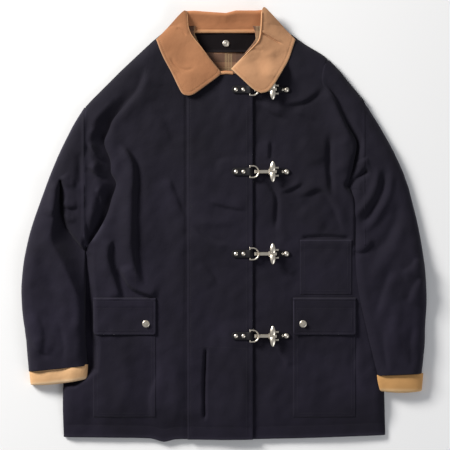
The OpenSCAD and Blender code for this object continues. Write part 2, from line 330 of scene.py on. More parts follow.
# each sleeve by its (inner, outer) pairs, from the shoulder to the cuff
SLEEVE_RIGHT = [((-279.5, 236), (-280, 237)), ((-280, 200), (-303, 200)), ((-280, 150), (-330, 146)),
                ((-280, 100), (-349, 101)), ((-280, 50), (-367, 52)), ((-280, 0), (-382, 10)),
                ((-280, -40), (-392, -24)), ((-280, -70), (-402, -72)), ((-280, -110), (-407, -124)),
                ((-280, -150), (-405, -174)), ((-280, -225), (-397, -232)), ((-276, -282), (-392, -294))]
SLEEVE_LEFT = [((279.5, 246), (280, 247)), ((280, 200), (310, 199)), ((280, 150), (337, 151)),
               ((281, 112), (357, 108)), ((268, 92), (362, 94)), ((255, 76), (369, 74)),
               ((252, 44), (377, 43)),
               ((254, 10), (385, 11)), ((257, -30), (394, -34)), ((259, -89), (402, -90)),
               ((268, -150), (405, -150)), ((279, -200), (402, -204)), ((290, -245), (401, -240)),
               ((305, -302), (395, -298))]
# the deep hollow between the right forearm and the body: the forearm slopes down into it from its left
# side, and the upper arm's lobe and the body stand over its right side
HOLLOW_LEFT = smooth([(-331, 90), (-336, 40), (-347, -24), (-330, -62), (-310, -104), (-292, -146),
                      (-281, -190)])
HOLLOW_RIGHT = smooth([(-331, 90), (-327, 50), (-322, 11), (-309, -17), (-291, -40), (-276, -58),
                       (-269, -100),
                       (-270, -190)])
# the body's cloth is pressed flat where a sleeve lies on it
PRESSED_RIGHT = [(-420, 30), (-330, 20), (-284, -42), (-268, -60), (-262, -129), (-259, -209), (-252, -240),
                 (-256, -290), (-300, -322), (-420, -330)]
PRESSED_LEFT = [(420, 60), (262, 66), (262, -30), (272, -89), (279, -165), (296, -240), (312, -300),
                (330, -326),
                (420, -330)]


def free_edge(pairs, first):
    """The part of a sleeve's inner edge that isn't sewn to the armhole."""
    return smooth([inner for inner, _ in pairs[first:]], 8)


# ---------------------------------------------------------------- folds
def fold(points, width, height, form="valley", ends=0.25):
    """One crease. form is ridge, valley, or which side of its run stands up: left or right."""
    return dict(path=smooth(points, 8), width=width, height=height, form=form, ends=ends)


FOLDS = [
    # right shoulder and armhole
    fold([(-156, 318), (-171, 274), (-196, 244), (-222, 214)], 11, 4.5, "left"),
    fold([(-276, 166), (-262, 141), (-236, 124)], 6, 4.5, "left"),
    fold([(-276, 120), (-256, 101), (-229, 91)], 6.5, 5.0, "left"),
    fold([(-268, 196), (-252, 178), (-243, 160)], 8, 2.5, "ridge"),
    fold([(-262, 70), (-250, 58), (-248, 40)], 5, 2.6, "left"),
    fold([(-258, 34), (-262, 4), (-270, -30)], 8, 3.0, "ridge"),
    fold([(-291, 150), (-290, 110), (-289, 70)], 8, 3.4, "valley"),
    fold([(-282, 236), (-282, 90), (-282, -30)], 3.0, 1.3, "ridge", 0.1),
    fold([(-331, 92), (-334, 50), (-341, 12)], 6, 8.0, "right"),
    fold([(-325, 100), (-312, 84), (-296, 84)], 9, 3.5, "ridge"),
    fold([(-330, 44), (-312, 34), (-292, 36)], 6, 3.2, "left"),
    fold([(-330, 24), (-310, 12), (-294, 14)], 7, 2.4, "ridge"),
    # right front
    fold([(-212, 166), (-190, 146), (-177, 112), (-179, 30), (-177, -69), (-158, -124)], 9, 6.5,
         "right", 0.12),
    fold([(-200, 130), (-196, 60), (-197, -20), (-192, -90)], 15, 3.5, "ridge"),
    fold([(-222, -26), (-228, -62), (-216, -107), (-202, -150)], 8, 5.2, "right", 0.15),
    fold([(-212, -82), (-203, -104), (-184, -129), (-134, -148)], 7, 6.8, "left", 0.15),
    fold([(-240, 0), (-238, -60), (-246, -120)], 15, 3.0, "ridge"),
    fold([(-112, 100), (-95, 58), (-78, 14)], 10, 2.6, "right"),
    fold([(-92, 40), (-86, -20), (-95, -90), (-84, -160)], 16, 2.0, "ridge"),
    fold([(-150, 232), (-120, 205), (-104, 160)], 16, 2.2, "right"),
    fold([(-137, 130), (-128, 60), (-136, -30)], 20, 2.0, "valley"),
    fold([(-167, -232), (-133, -280), (-150, -348), (-140, -410)], 13, 3.0, "left"),
    fold([(-215, -236), (-196, -300), (-206, -380)], 17, 2.2, "ridge"),
    fold([(-270, -330), (-262, -380), (-268, -425)], 14, 2.2, "valley"),
    fold([(-112, -250), (-96, -320), (-104, -415)], 14, 2.4, "ridge"),
    # placket
    fold([(-37, -242), (-40, -310), (-40, -392)], 3.0, 6.0, "valley", 0.10),
    fold([(-34, 46), (0, 36), (46, 28)], 6, 2.2, "left"),
    fold([(-68, 0), (-30, -27), (28, -44)], 8, 2.8, "right"),
    fold([(-60, 12), (-20, 4), (30, 8)], 9, 1.8, "ridge"),
    fold([(-20, 132), (12, 128), (22, 108)], 8, 1.8, "right"),
    fold([(-52, -70), (-30, -90), (-12, -120)], 9, 1.7, "right"),
    fold([(30, -262), (38, -330), (26, -420)], 12, 2.2, "ridge"),
    # left front
    fold([(66, 250), (88, 227), (128, 210)], 9, 3.6, "left", 0.35),
    fold([(102, 244), (128, 241), (156, 245), (180, 259), (204, 282)], 6.5, 3.6, "left", 0.35),
    fold([(199, 288), (221, 254), (244, 204), (264, 166)], 8, 5.5, "right"),
    fold([(132, 224), (160, 218), (186, 204)], 7, 1.6, "left", 0.35),
    fold([(91, 172), (90, 128)], 5, 2.6, "right"),
    fold([(212, 190), (210, 124), (213, 84), (216, 50)], 6.5, 5.5, "valley", 0.3),
    fold([(236, 180), (240, 140), (232, 100)], 13, 3.4, "ridge"),
    fold([(150, 170), (176, 150), (190, 120)], 16, 2.4, "ridge"),
    fold([(56, 92), (82, 90), (103, 62), (104, 20), (102, -18)], 5.0, 4.4, "valley", 0.25),
    fold([(108, 62), (130, 70), (162, 86)], 5, 3.0, "left", 0.35),
    fold([(132, 56), (162, 60), (192, 70), (215, 44), (231, 6), (236, -20)], 8, 3.6, "left", 0.3),
    fold([(150, 36), (180, 12), (205, -8)], 15, 3.2, "ridge"),
    fold([(118, 8), (114, -40), (118, -92)], 12, 2.0, "ridge"),
    fold([(108, -76), (124, -92), (136, -104)], 6, 2.4, "left"),
    fold([(252, -52), (278, -52), (302, -28)], 7, 3.4, "left"),
    fold([(152, -25), (205, -23), (254, -26)], 3.4, 4.2, "valley", 0.12),
    fold([(96, -238), (116, -262), (124, -288)], 8, 2.6, "left"),
    fold([(110, -300), (96, -360), (108, -420)], 15, 2.2, "ridge"),
    fold([(268, -230), (262, -280), (270, -330)], 11, 2.6, "left"),
    fold([(180, -240), (210, -310), (196, -400)], 20, 1.8, "valley"),
    # left sleeve
    fold([(290, 112), (266, 94), (240, 74)], 6.5, 7.5, "valley", 0.15),
    fold([(288, 136), (272, 130), (262, 122)], 5, 2.6, "left"),
    fold([(308, 122), (301, 77), (278, 37), (254, 12)], 8, 4.6, "ridge"),
    fold([(321, 120), (315, 66), (290, 22), (264, -8)], 8, 3.4, "valley"),
    fold([(335, 118), (328, 64), (304, 17), (276, -18)], 8, 4.4, "ridge"),
    fold([(348, 60), (340, 0), (312, -44), (282, -60)], 11, 3.4, "valley"),
    fold([(360, 30), (345, -30), (310, -88), (290, -140)], 14, 3.4, "ridge"),
    fold([(336, -86), (320, -130), (304, -182)], 10, 3.2, "left"),
    fold([(384, -62), (372, -84), (352, -92)], 8, 3.0, "left"),
    fold([(396, -100), (378, -124), (366, -160)], 9, 3.4, "left"),
    fold([(352, -150), (340, -200), (346, -262)], 12, 2.8, "ridge"),
    fold([(378, -190), (372, -230), (376, -290)], 9, 2.4, "valley"),
    fold([(318, -200), (322, -250), (330, -296)], 9, 2.6, "left"),
    # right sleeve
    fold([(-370, -20), (-380, -70), (-372, -130)], 16, 2.8, "ridge"),
    fold([(-340, -110), (-322, -150), (-318, -215)], 14, 2.6, "ridge"),
    fold([(-378, -170), (-362, -215), (-366, -270)], 12, 2.8, "right"),
    fold([(-330, -190), (-318, -236), (-322, -280)], 9, 2.4, "left"),
    fold([(-388, -226), (-372, -250), (-344, -262)], 9, 2.0, "left"),
    fold([(-352, 110), (-344, 70), (-350, 30)], 10, 2.4, "ridge"),
]


FOLD_DEPTH = 1.3


def folds_at(x, y):
    z = np.zeros(x.shape)
    for f in FOLDS:
        path, w = f["path"], f["width"]
        low, high = path.min(0) - 4.5 * w, path.max(0) + 4.5 * w
        at = (x > low[0]) & (x < high[0]) & (y > low[1]) & (y < high[1])
        if not at.any():
            continue
        d, s, t = near(x[at], y[at], path)
        fade = ease(t / f["ends"]) * ease((1 - t) / f["ends"])
        past = np.exp(-((np.maximum(d - np.abs(s), 0) / w) ** 2))
        bell = np.exp(-((d / w) ** 2))
        if f["form"] == "ridge":
            shape = bell
        elif f["form"] == "valley":
            shape = -bell
        else:
            lean = (s if f["form"] == "left" else -s) / w
            shape = np.where(lean > 0, lean * np.exp(1 - lean),
                             0.9 * lean * np.exp(1 + 2 * np.minimum(lean, 0)))
        z[at] += FOLD_DEPTH * f["height"] * shape * fade * past
    return z


RANDOM = np.random.RandomState(7)
WANDER = [(RANDOM.uniform(0.02, 0.055), RANDOM.uniform(0, math.tau),
           RANDOM.uniform(0, math.tau)) for _ in range(9)]
RIPPLE = [(RANDOM.uniform(0.10, 0.26), RANDOM.uniform(0, math.tau),
           RANDOM.uniform(0, math.tau)) for _ in range(14)]


def wander(x, y):
    """The slow unevenness of cloth that was only patted flat."""
    z = np.zeros(x.shape)
    bend = 12 * np.sin(0.021 * x + 0.013 * y) + 9 * np.sin(0.017 * y - 0.011 * x + 2)
    for k, turn, phase in WANDER:
        z += 0.56 * np.sin(k * (math.cos(turn) * x + math.sin(turn) * y) + phase + 0.05 * bend)
    for k, turn, phase in RIPPLE:
        z += 0.10 * np.sin(k * (math.cos(turn) * x + math.sin(turn) * y) + phase + 0.16 * bend)
    return z


# ---------------------------------------------------------------- surfaces
EDGE_Z = 2.2
BODY_RISE = 17.0
SHOULDERS = [smooth(SHOULDER_RIGHT), smooth(SHOULDER_LEFT)]
OUTERS = [smooth([o for _, o in SLEEVE_RIGHT]), smooth([o for _, o in SLEEVE_LEFT])]
SIDES = [smooth(SIDE_RIGHT), smooth(SIDE_LEFT)]
HEM = smooth([HEM_RIGHT, (-230, -426), (-158, -427), (-138, -430), (-122, -434.6), (-106, -431),
              (-88, -429), (0, -429.5),
              (150, -427), HEM_LEFT])
SLEEVE_FREE = [free_edge(SLEEVE_RIGHT, 6), free_edge(SLEEVE_LEFT, 4)]
HOLLOW_EDGE = np.vstack([HOLLOW_LEFT, HOLLOW_RIGHT[:0:-1]])
ROLL_RADIUS = 24


def edges_at(x, y, paths, radius=ROLL_RADIUS):
    d = np.full(x.shape, 1e9)
    for path in paths:
        d = np.minimum(d, near(x, y, path)[0])
    return rolled(d, radius)


def front_z(x, y):
    """The upper surface of the fronts and shoulders."""
    x, y = np.asarray(x, float), np.asarray(y, float)
    rise = edges_at(x, y, SHOULDERS + OUTERS + SIDES)
    hem = near(x, y, HEM)[0]
    rise = rise * (0.42 + 0.58 * ease(hem / 70))
    z = EDGE_Z + BODY_RISE * rise + (folds_at(x, y) + wander(x, y)) * np.clip(rise * 1.1, 0, 1)
    for region in (PRESSED_RIGHT, PRESSED_LEFT):
        z = z + (np.minimum(z, 4.6) - z) * ease(inside(x, y, region) / 17 + 0.35)
    return np.maximum(z, 1.8)


def sleeve_z(x, y, side):
    """The upper surface of a sleeve; side 0 is the right one."""
    x, y = np.asarray(x, float), np.asarray(y, float)
    rise = edges_at(x, y, [SHOULDERS[side], OUTERS[side]])
    rise = np.minimum(rise, edges_at(x, y, [SLEEVE_FREE[side]], 20))
    if side == 0:
        left, right = near(x, y, HOLLOW_LEFT)[0], near(x, y, HOLLOW_RIGHT)[0]
        slope = (1 - left / (left + right + 1e-6)) ** 1.25
        beside = np.where(right < left, rolled(right, 15), 1.0)
        rise = np.minimum(rise, np.where(inside(x, y, HOLLOW_EDGE) > 0, slope, beside))
    low = sleeve_base(x, y, side)
    body = EDGE_Z + BODY_RISE
    lift = 6.5 * ease((20 - y) / 120)
    if side == 0:
        lift = lift + 8.0 * ease(1 - near(x, y, HOLLOW_LEFT)[0] / 40) * ease((80 - y) / 80)
    z = low + (body + lift - low) * rise + (folds_at(x, y) + wander(x, y)) * np.clip(rise * 1.1, 0, 1)
    return np.maximum(z, low + 1.5)


def sleeve_base(x, y, side):
    """The underside's height: on the floor outside the body, and on the body's side over it."""
    line = np.interp(y, [p[1] for p in (SIDE_RIGHT, SIDE_LEFT)[side]],
                     [abs(p[0]) for p in (SIDE_RIGHT, SIDE_LEFT)[side]])
    over = ease((line + 14 - np.abs(x)) / 26) * ease((-30 - y) / 30)
    return 2.2 + 5.0 * over


# ---------------------------------------------------------------- meshes
def new_object(name, vertices, faces, material, smooth_faces=True):
    """A mesh object from vertices in millimetres."""
    mesh = bpy.data.meshes.new(name)
    mesh.from_pydata((np.asarray(vertices, float) * MM).tolist(), [], faces)
    mesh.validate()
    mesh.polygons.foreach_set("use_smooth", [smooth_faces] * len(mesh.polygons))
    mesh.materials.append(material)
    mesh.update()
    piece = bpy.data.objects.new(name, mesh)
    bpy.context.scene.collection.objects.link(piece)
    return piece


def grid_faces(rows, columns, closed=False, offset=0):
    out = []
    for r in range(rows - 1):
        for c in range(columns if closed else columns - 1):
            d = (c + 1) % columns
            out.append((offset + r * columns + c, offset + r * columns + d,
                        offset + (r + 1) * columns + d, offset + (r + 1) * columns + c))
    return out


def sheet_object(name, x, y, z, material, thick=1.3, closed=False):
    """Cloth over a grid of points, thickened downwards."""
    rows, columns = x.shape
    piece = new_object(name, np.stack([x, y, z], -1).reshape(-1, 3), grid_faces(rows, columns, closed),
                       material)
    thicken(piece, thick)
    return piece


def thicken(piece, thick):
    solid = piece.modifiers.new("cloth", "SOLIDIFY")
    solid.thickness = thick * MM
    solid.offset = -1
    solid.use_even_offset = False


def cut_from(x, y):
    """Flat size and area in metres, read off a grid that lies nearly flat, with turnings added."""
    a = np.stack([x, y], -1) * MM
    one, two = a[1:, 1:] - a[:-1, :-1], a[:-1, 1:] - a[1:, :-1]
    area = 0.5 * np.abs(one[..., 0] * two[..., 1] - one[..., 1] * two[..., 0]).sum()
    flat = (float(np.ptp(a[..., 0])) + TURNING, float(np.ptp(a[..., 1])) + TURNING)
    return dict(flat=flat, area=float(min(area * 1.04, flat[0] * flat[1])))


def row_grid(y_low, y_high, rows, columns, left, right, bias=1.0, hem=None):
    """Points between two sides given as functions of y. bias above 1 crowds the columns to the left.
    hem, a path, lifts the lowest rows so that they end on it."""
    t = np.linspace(0, 1, rows)[:, None]
    u = np.linspace(0, 1, columns)[None, :]
    u = u**bias if bias > 0 else 1 - (1 - u) ** (-bias)
    y = y_low + (y_high - y_low) * t + 0 * u
    x = left(y[:, :1]) * (1 - u) + right(y[:, :1]) * u
    if hem is not None:
        order = np.argsort(hem[:, 0])
        y = y + (np.interp(x, hem[order, 0], hem[order, 1]) - y_low) * (1 - ease(t / 0.25))
    return x, y


# ---------------------------------------------------------------- materials
def nodes_of(name):
    material = bpy.data.materials.new(name)
    material.use_nodes = True
    tree = material.node_tree
    return material, tree, tree.nodes["Principled BSDF"]


def node(tree, kind, settings=None, **inputs):
    n = tree.nodes.new(kind)
    for key, value in (settings or {}).items():
        setattr(n, key, value)
    for key, value in inputs.items():
        numbered = key[0] == "i" and key[1:].isdigit()
        socket = n.inputs[int(key[1:])] if numbered else n.inputs[key.replace("_", " ")]
        if isinstance(value, bpy.types.NodeSocket):
            tree.links.new(value, socket)
        else:
            socket.default_value = value
    return n


def maths(tree, operation, a, b=0.0):
    return node(tree, "ShaderNodeMath", {"operation": operation}, i0=a, i1=b).outputs[0]


def mixed(tree, factor, a, b, blend="MIX"):
    n = node(tree, "ShaderNodeMix", {"data_type": "RGBA", "blend_type": blend}, i0=factor)
    for index, value in ((6, a), (7, b)):
        if isinstance(value, bpy.types.NodeSocket):
            tree.links.new(value, n.inputs[index])
        else:
            n.inputs[index].default_value = (*value, 1)
    return n.outputs[2]


def noise(tree, where, scale, detail=3.0, rough=0.55):
    return node(tree, "ShaderNodeTexNoise", None, Vector=where, Scale=scale, Detail=detail,
                Roughness=rough).outputs["Fac"]


def placed(tree, turn=0.0, stretch=(1, 1, 1)):
    where = tree.nodes.new("ShaderNodeTexCoord").outputs["Object"]
    return node(tree, "ShaderNodeMapping", None, Vector=where, Rotation=(0, 0, turn),
                Scale=stretch).outputs[0]


def bands(tree, where, scale, direction="X"):
    return node(tree, "ShaderNodeTexWave", {"bands_direction": direction, "wave_profile": "SIN"},
                Vector=where, Scale=scale, Distortion=0.0).outputs["Fac"]


def cloth_material(name, colours, pitch, turn=0.0, ribbed=False, rough=0.86, sheen=0.25, gloss=0.2,
                   depth=0.00022,
                   pale=None, painted_shade_at_top=None):
    """Woven cotton: crossing threads, slubs, a worn unevenness and a soft sheen, with optional paler edges and an
    optional painted shade that darkens the cloth towards the top of the coat.
    """
    material, tree, shader = nodes_of(name)
    where = placed(tree, turn)
    warp = bands(tree, where, 0.314 / pitch, "X")
    weft = bands(tree, where, 0.314 / (pitch if not ribbed else pitch * 0.45), "Y")
    weave = warp if ribbed else maths(tree, "MULTIPLY", warp, weft)
    slub = noise(tree, placed(tree, turn, (1, 0.12, 1)), 900, 2)
    patch = noise(tree, where, 16, 5, 0.62)
    wide = maths(tree, "MULTIPLY_ADD", noise(tree, where, 6, 3, 0.6), 2.4)
    wide.node.inputs[2].default_value = -0.7
    wide.node.use_clamp = True
    tone = mixed(tree, maths(tree, "MULTIPLY", patch, 1.0), colours[0], colours[1])
    tone = mixed(tree, maths(tree, "MULTIPLY", wide, 0.7), tone, colours[2])
    tone = mixed(tree, maths(tree, "MULTIPLY", weave, 0.28), tone, colours[1])
    tone = mixed(tree, maths(tree, "MULTIPLY", slub, 0.22), tone, colours[2])
    # painted shade: the tone is mixed towards a darker, greyer colour the further up the coat (+Y) it lies, for the
    # light that falls off towards the neck
    if painted_shade_at_top is not None:
        split = node(tree, "ShaderNodeSeparateXYZ", None, Vector=placed(tree)).outputs
        height = maths(tree, "MULTIPLY_ADD", split[1], 1.5)
        height.node.inputs[2].default_value = 0.3
        height.node.use_clamp = True
        tone = mixed(tree, maths(tree, "MULTIPLY", height, 0.6), tone, painted_shade_at_top)
    # paler worn edges from the wear attribute; along the right shoulder's armhole seam this pale mark is partly a
    # painted highlight
    if pale is not None:
        edge = node(tree, "ShaderNodeAttribute", {"attribute_name": "wear"}).outputs["Fac"]
        rubbed_and_highlit = maths(tree, "MULTIPLY", edge, maths(tree, "ADD", patch, 0.25))
        tone = mixed(tree, rubbed_and_highlit, tone, pale)
    tree.links.new(tone, shader.inputs["Base Color"])
    rise = maths(tree, "ADD", maths(tree, "MULTIPLY", weave, 0.7), maths(tree, "MULTIPLY", slub, 0.5))
    fine = maths(tree, "ADD", rise, maths(tree, "MULTIPLY", noise(tree, where, 260, 3), 0.8))
    creases = node(tree, "ShaderNodeTexNoise", {"noise_type": "RIDGED_MULTIFRACTAL"}, Vector=where,
                   Scale=9.0, Detail=4.0,
                   Distortion=0.6)
    crumple = maths(tree, "ADD", noise(tree, where, 34, 4, 0.5),
                    maths(tree, "MULTIPLY", creases.outputs["Fac"], 0.22))
    dents = node(tree, "ShaderNodeBump", None, Strength=0.55, Distance=0.0036, Height=crumple)
    bump = node(tree, "ShaderNodeBump", None, Strength=0.55, Distance=depth, Height=fine,
                Normal=dents.outputs[0])
    tree.links.new(bump.outputs[0], shader.inputs["Normal"])
    spread = maths(tree, "MULTIPLY_ADD", patch, 0.12)
    spread.node.inputs[2].default_value = rough - 0.06
    tree.links.new(spread, shader.inputs["Roughness"])
    shader.inputs["Sheen Weight"].default_value = sheen
    shader.inputs["Sheen Roughness"].default_value = 0.55
    shader.inputs["Specular IOR Level"].default_value = gloss
    return material


def plaid_material():
    """Brown and taupe plaid, crossed by groups of fine cream lines."""
    material, tree, shader = nodes_of("plaid_lining")
    split = node(tree, "ShaderNodeSeparateXYZ", None, Vector=placed(tree)).outputs
    tone = mixed(tree, noise(tree, placed(tree), 30, 4), (0.235, 0.112, 0.060), (0.31, 0.160, 0.088))

    def band(axis, centre, half, repeat, colour, tone, strength):
        shifted = maths(tree, "ADD", split[axis], repeat * 40.5 - centre)
        offset = maths(tree, "SUBTRACT", maths(tree, "MODULO", shifted, repeat), repeat / 2)
        hit = maths(tree, "LESS_THAN", maths(tree, "ABSOLUTE", offset), half)
        return mixed(tree, maths(tree, "MULTIPLY", hit, strength), tone, colour)

    for axis, centre in ((0, -0.030), (1, 0.336)):
        tone = band(axis, centre, 0.0085, 0.062, (0.105, 0.052, 0.033), tone, 0.7)
    tone = band(1, 0.352, 0.0035, 0.062, (0.40, 0.22, 0.13), tone, 0.45)
    for line in range(5):
        tone = band(0, 0.0015 + 0.0032 * line, 0.0004, 0.062, (0.60, 0.44, 0.22), tone, 0.85)
    for line in range(3):
        tone = band(1, 0.310 + 0.0032 * line, 0.0004, 0.062, (0.50, 0.34, 0.18), tone, 0.6)
    tree.links.new(tone, shader.inputs["Base Color"])
    weave = maths(tree, "MULTIPLY", bands(tree, placed(tree), 420, "X"),
                  bands(tree, placed(tree), 420, "Y"))
    bump = node(tree, "ShaderNodeBump", None, Strength=0.4, Distance=0.0002, Height=weave)
    tree.links.new(bump.outputs[0], shader.inputs["Normal"])
    shader.inputs["Roughness"].default_value = 0.85
    shader.inputs["Sheen Weight"].default_value = 0.15
    return material


def metal_material(name, colour, rough, scratch):
    material, tree, shader = nodes_of(name)
    where = placed(tree)
    wear = noise(tree, where, 220, 5, 0.6)
    fine = noise(tree, placed(tree, 0.5, (1, 9, 1)), 1400, 2)
    tone = mixed(tree, maths(tree, "MULTIPLY", wear, 0.35), colour, tuple(0.62 * c for c in colour))
    tree.links.new(tone, shader.inputs["Base Color"])
    spread = maths(tree, "MULTIPLY_ADD", wear, 0.22)
    spread.node.inputs[2].default_value = rough - 0.06
    tree.links.new(spread, shader.inputs["Roughness"])
    bump = node(tree, "ShaderNodeBump", None, Strength=scratch, Distance=0.00005,
                Height=maths(tree, "ADD", wear, maths(tree, "MULTIPLY", fine, 0.4)))
    tree.links.new(bump.outputs[0], shader.inputs["Normal"])
    shader.inputs["Metallic"].default_value = 1.0
    return material


def thread_material(name, colour):
    material, tree, shader = nodes_of(name)
    where = placed(tree)
    twist = bands(tree, placed(tree, 0.8), 1100, "X")
    tone = mixed(tree, noise(tree, where, 500, 2), colour, tuple(0.6 * c for c in colour))
    tree.links.new(mixed(tree, maths(tree, "MULTIPLY", twist, 0.35), tone,
                         tuple(min(1, 1.5 * c) for c in colour)),
                   shader.inputs["Base Color"])
    bump = node(tree, "ShaderNodeBump", None, Strength=0.5, Distance=0.0001, Height=twist)
    tree.links.new(bump.outputs[0], shader.inputs["Normal"])
    shader.inputs["Roughness"].default_value = 0.6
    return material


# navy cotton, with a painted shade that darkens it towards the neck end of the coat
NAVY = cloth_material("navy_cotton",
                      [(0.0120, 0.0101, 0.0192), (0.0200, 0.0166, 0.0318), (0.0062, 0.0054, 0.0088)],
                      0.0011, turn=0.79, sheen=0.03, gloss=0.14, pale=(0.028, 0.025, 0.040),
                      painted_shade_at_top=(0.0098, 0.0090, 0.0124))
FACING = cloth_material("navy_cotton_facing",
                        [(0.0072, 0.0048, 0.0055), (0.0110, 0.0080, 0.0092), (0.0045, 0.0030, 0.0035)],
                        0.0011, turn=0.79, sheen=0.02, gloss=0.10, pale=(0.020, 0.016, 0.018))
# the collar leaves take a darker and a lighter copy of one tan canvas: painted shade on the right leaf, painted light
# on the left leaf, for the light that falls more on the left leaf
TAN_RIGHT_PAINTED_DARKER = cloth_material("tan_canvas", [(0.360, 0.160, 0.075), (0.465, 0.225, 0.110), (0.250, 0.098, 0.043)],
                     0.0014, turn=0.12, ribbed=True, sheen=0.05, rough=0.9, gloss=0.12,
                     pale=(0.55, 0.33, 0.19))
TAN_LEFT_PAINTED_LIGHTER = cloth_material("tan_canvas_left",
                          [(0.485, 0.250, 0.130), (0.62, 0.350, 0.190), (0.355, 0.165, 0.080)],
                          0.0014, turn=-0.12, ribbed=True, sheen=0.05, rough=0.9, gloss=0.12,
                          pale=(0.64, 0.40, 0.22))
# the collar's inner canvas: redder than the leaves, and painted lighter than its own colour to lift the band and
# stands out of the shade they lie in under the roll
TAN_INNER_PAINTED_LIGHT = cloth_material("tan_canvas_inner_painted_light",
                          [(0.50, 0.205, 0.092), (0.60, 0.275, 0.130), (0.38, 0.140, 0.058)],
                          0.0014, turn=0.02, ribbed=True, sheen=0.05, rough=0.9, gloss=0.12,
                          pale=(0.62, 0.34, 0.17))
TAN_LIGHT = cloth_material("tan_canvas_cuff", [(0.70, 0.41, 0.20), (0.80, 0.50, 0.27), (0.58, 0.32, 0.14)],
                           0.0014, turn=0.05, ribbed=True, sheen=0.05, rough=0.9, gloss=0.12,
                           pale=(0.80, 0.58, 0.36))
TAN_CUFF = cloth_material("tan_canvas_left_cuff",
                          [(0.58, 0.31, 0.11), (0.67, 0.39, 0.16), (0.47, 0.23, 0.08)],
                          0.0014, turn=0.05, ribbed=True, sheen=0.05, rough=0.9, gloss=0.12,
                          pale=(0.72, 0.49, 0.26))
PLAID = plaid_material()
NICKEL = metal_material("nickel", (0.96, 0.88, 0.75), 0.31, 0.35)
STEEL = metal_material("spring_steel", (0.45, 0.45, 0.47), 0.34, 0.4)
STRAP = cloth_material("black_strap",
                       [(0.0080, 0.0070, 0.0092), (0.013, 0.0115, 0.0145), (0.0045, 0.0041, 0.0050)],
                       0.0016, turn=0.0, ribbed=True, rough=0.62, sheen=0.02, gloss=0.2)
NAVY_THREAD = thread_material("navy_thread", (0.0150, 0.0128, 0.0220))
TAN_THREAD = thread_material("tan_thread", (0.50, 0.27, 0.13))


def mark_wear_and_highlight(piece, paths, width):
    """Marks how pale each vertex goes, most along the paths and less within width of them: worn edges, and along the
    right shoulder's armhole seam partly a painted highlight.
    """
    mesh = piece.data
    co = np.zeros(len(mesh.vertices) * 3, np.float32)
    mesh.vertices.foreach_get("co", co)
    co = co.reshape(-1, 3).astype(float) / MM
    d = np.full(len(co), 1e9)
    for path in paths:
        d = np.minimum(d, near(co[:, 0], co[:, 1], np.asarray(path, float))[0])
    attribute = mesh.attributes.new("wear", "FLOAT", "POINT")
    attribute.data.foreach_set("value", np.exp(-((d / width) ** 2)).astype(np.float32))


# ---------------------------------------------------------------- body of the coat
FOLD_TOP, FOLD_LOW = np.array([57.0, 85.0]), np.array([-140.0, -425.0])
FOLD_RUN = (FOLD_TOP - FOLD_LOW) / np.linalg.norm(FOLD_TOP - FOLD_LOW)
FOLD_OUT = np.array([FOLD_RUN[1], -FOLD_RUN[0]])


def bend_corner(piece):
    """The cloth turns over between 12 mm before the fold line and 8 mm past it."""
    start, end = FOLD_TOP - 12 * FOLD_OUT, FOLD_TOP + 8 * FOLD_OUT
    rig.blend(piece, "coat", "front_corner", start=(*(start * MM), 0.022), end=(*(end * MM), 0.022))


def bend_sleeve(piece, side):
    sign, body, start, end = ((-1, "sleeve_right", 225, 275), (1, "sleeve_left", 225, 260))[side]
    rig.blend(piece, "coat", body, start=(sign * start * MM, 0, 0.01), end=(sign * end * MM, 0, 0.01))


def hem_band(z, y, x, path=HEM):
    """Presses the cloth where the hem is stitched, and lets its edge stand."""
    d = near(x, y, path)[0]
    return z - 0.7 * np.exp(-(((d - 24) / 2.6) ** 2)) + 0.6 * np.exp(-(((d - 9) / 9) ** 2))


def inset_lining(x, y, z, outer_column):
    """Keeps a lining back from the front's outer edge, one of the end columns, and from its hem.
    The heights are read off the front again where the lining's points have moved to."""
    inward = 1 if outer_column == 0 else -1
    inset_x = x + inward * 30 * np.exp(-np.abs(x - x[:, [outer_column]]) / 55)
    z = np.array([np.interp(new, old, height) for new, old, height in zip(inset_x, x, z)])
    inset_y = y + 16 * np.exp(-30 * np.linspace(0, 1, len(x))[:, None])
    z = np.array([np.interp(new, old, height) for new, old, height in zip(inset_y.T, y.T, z.T)]).T
    return inset_x, inset_y, z


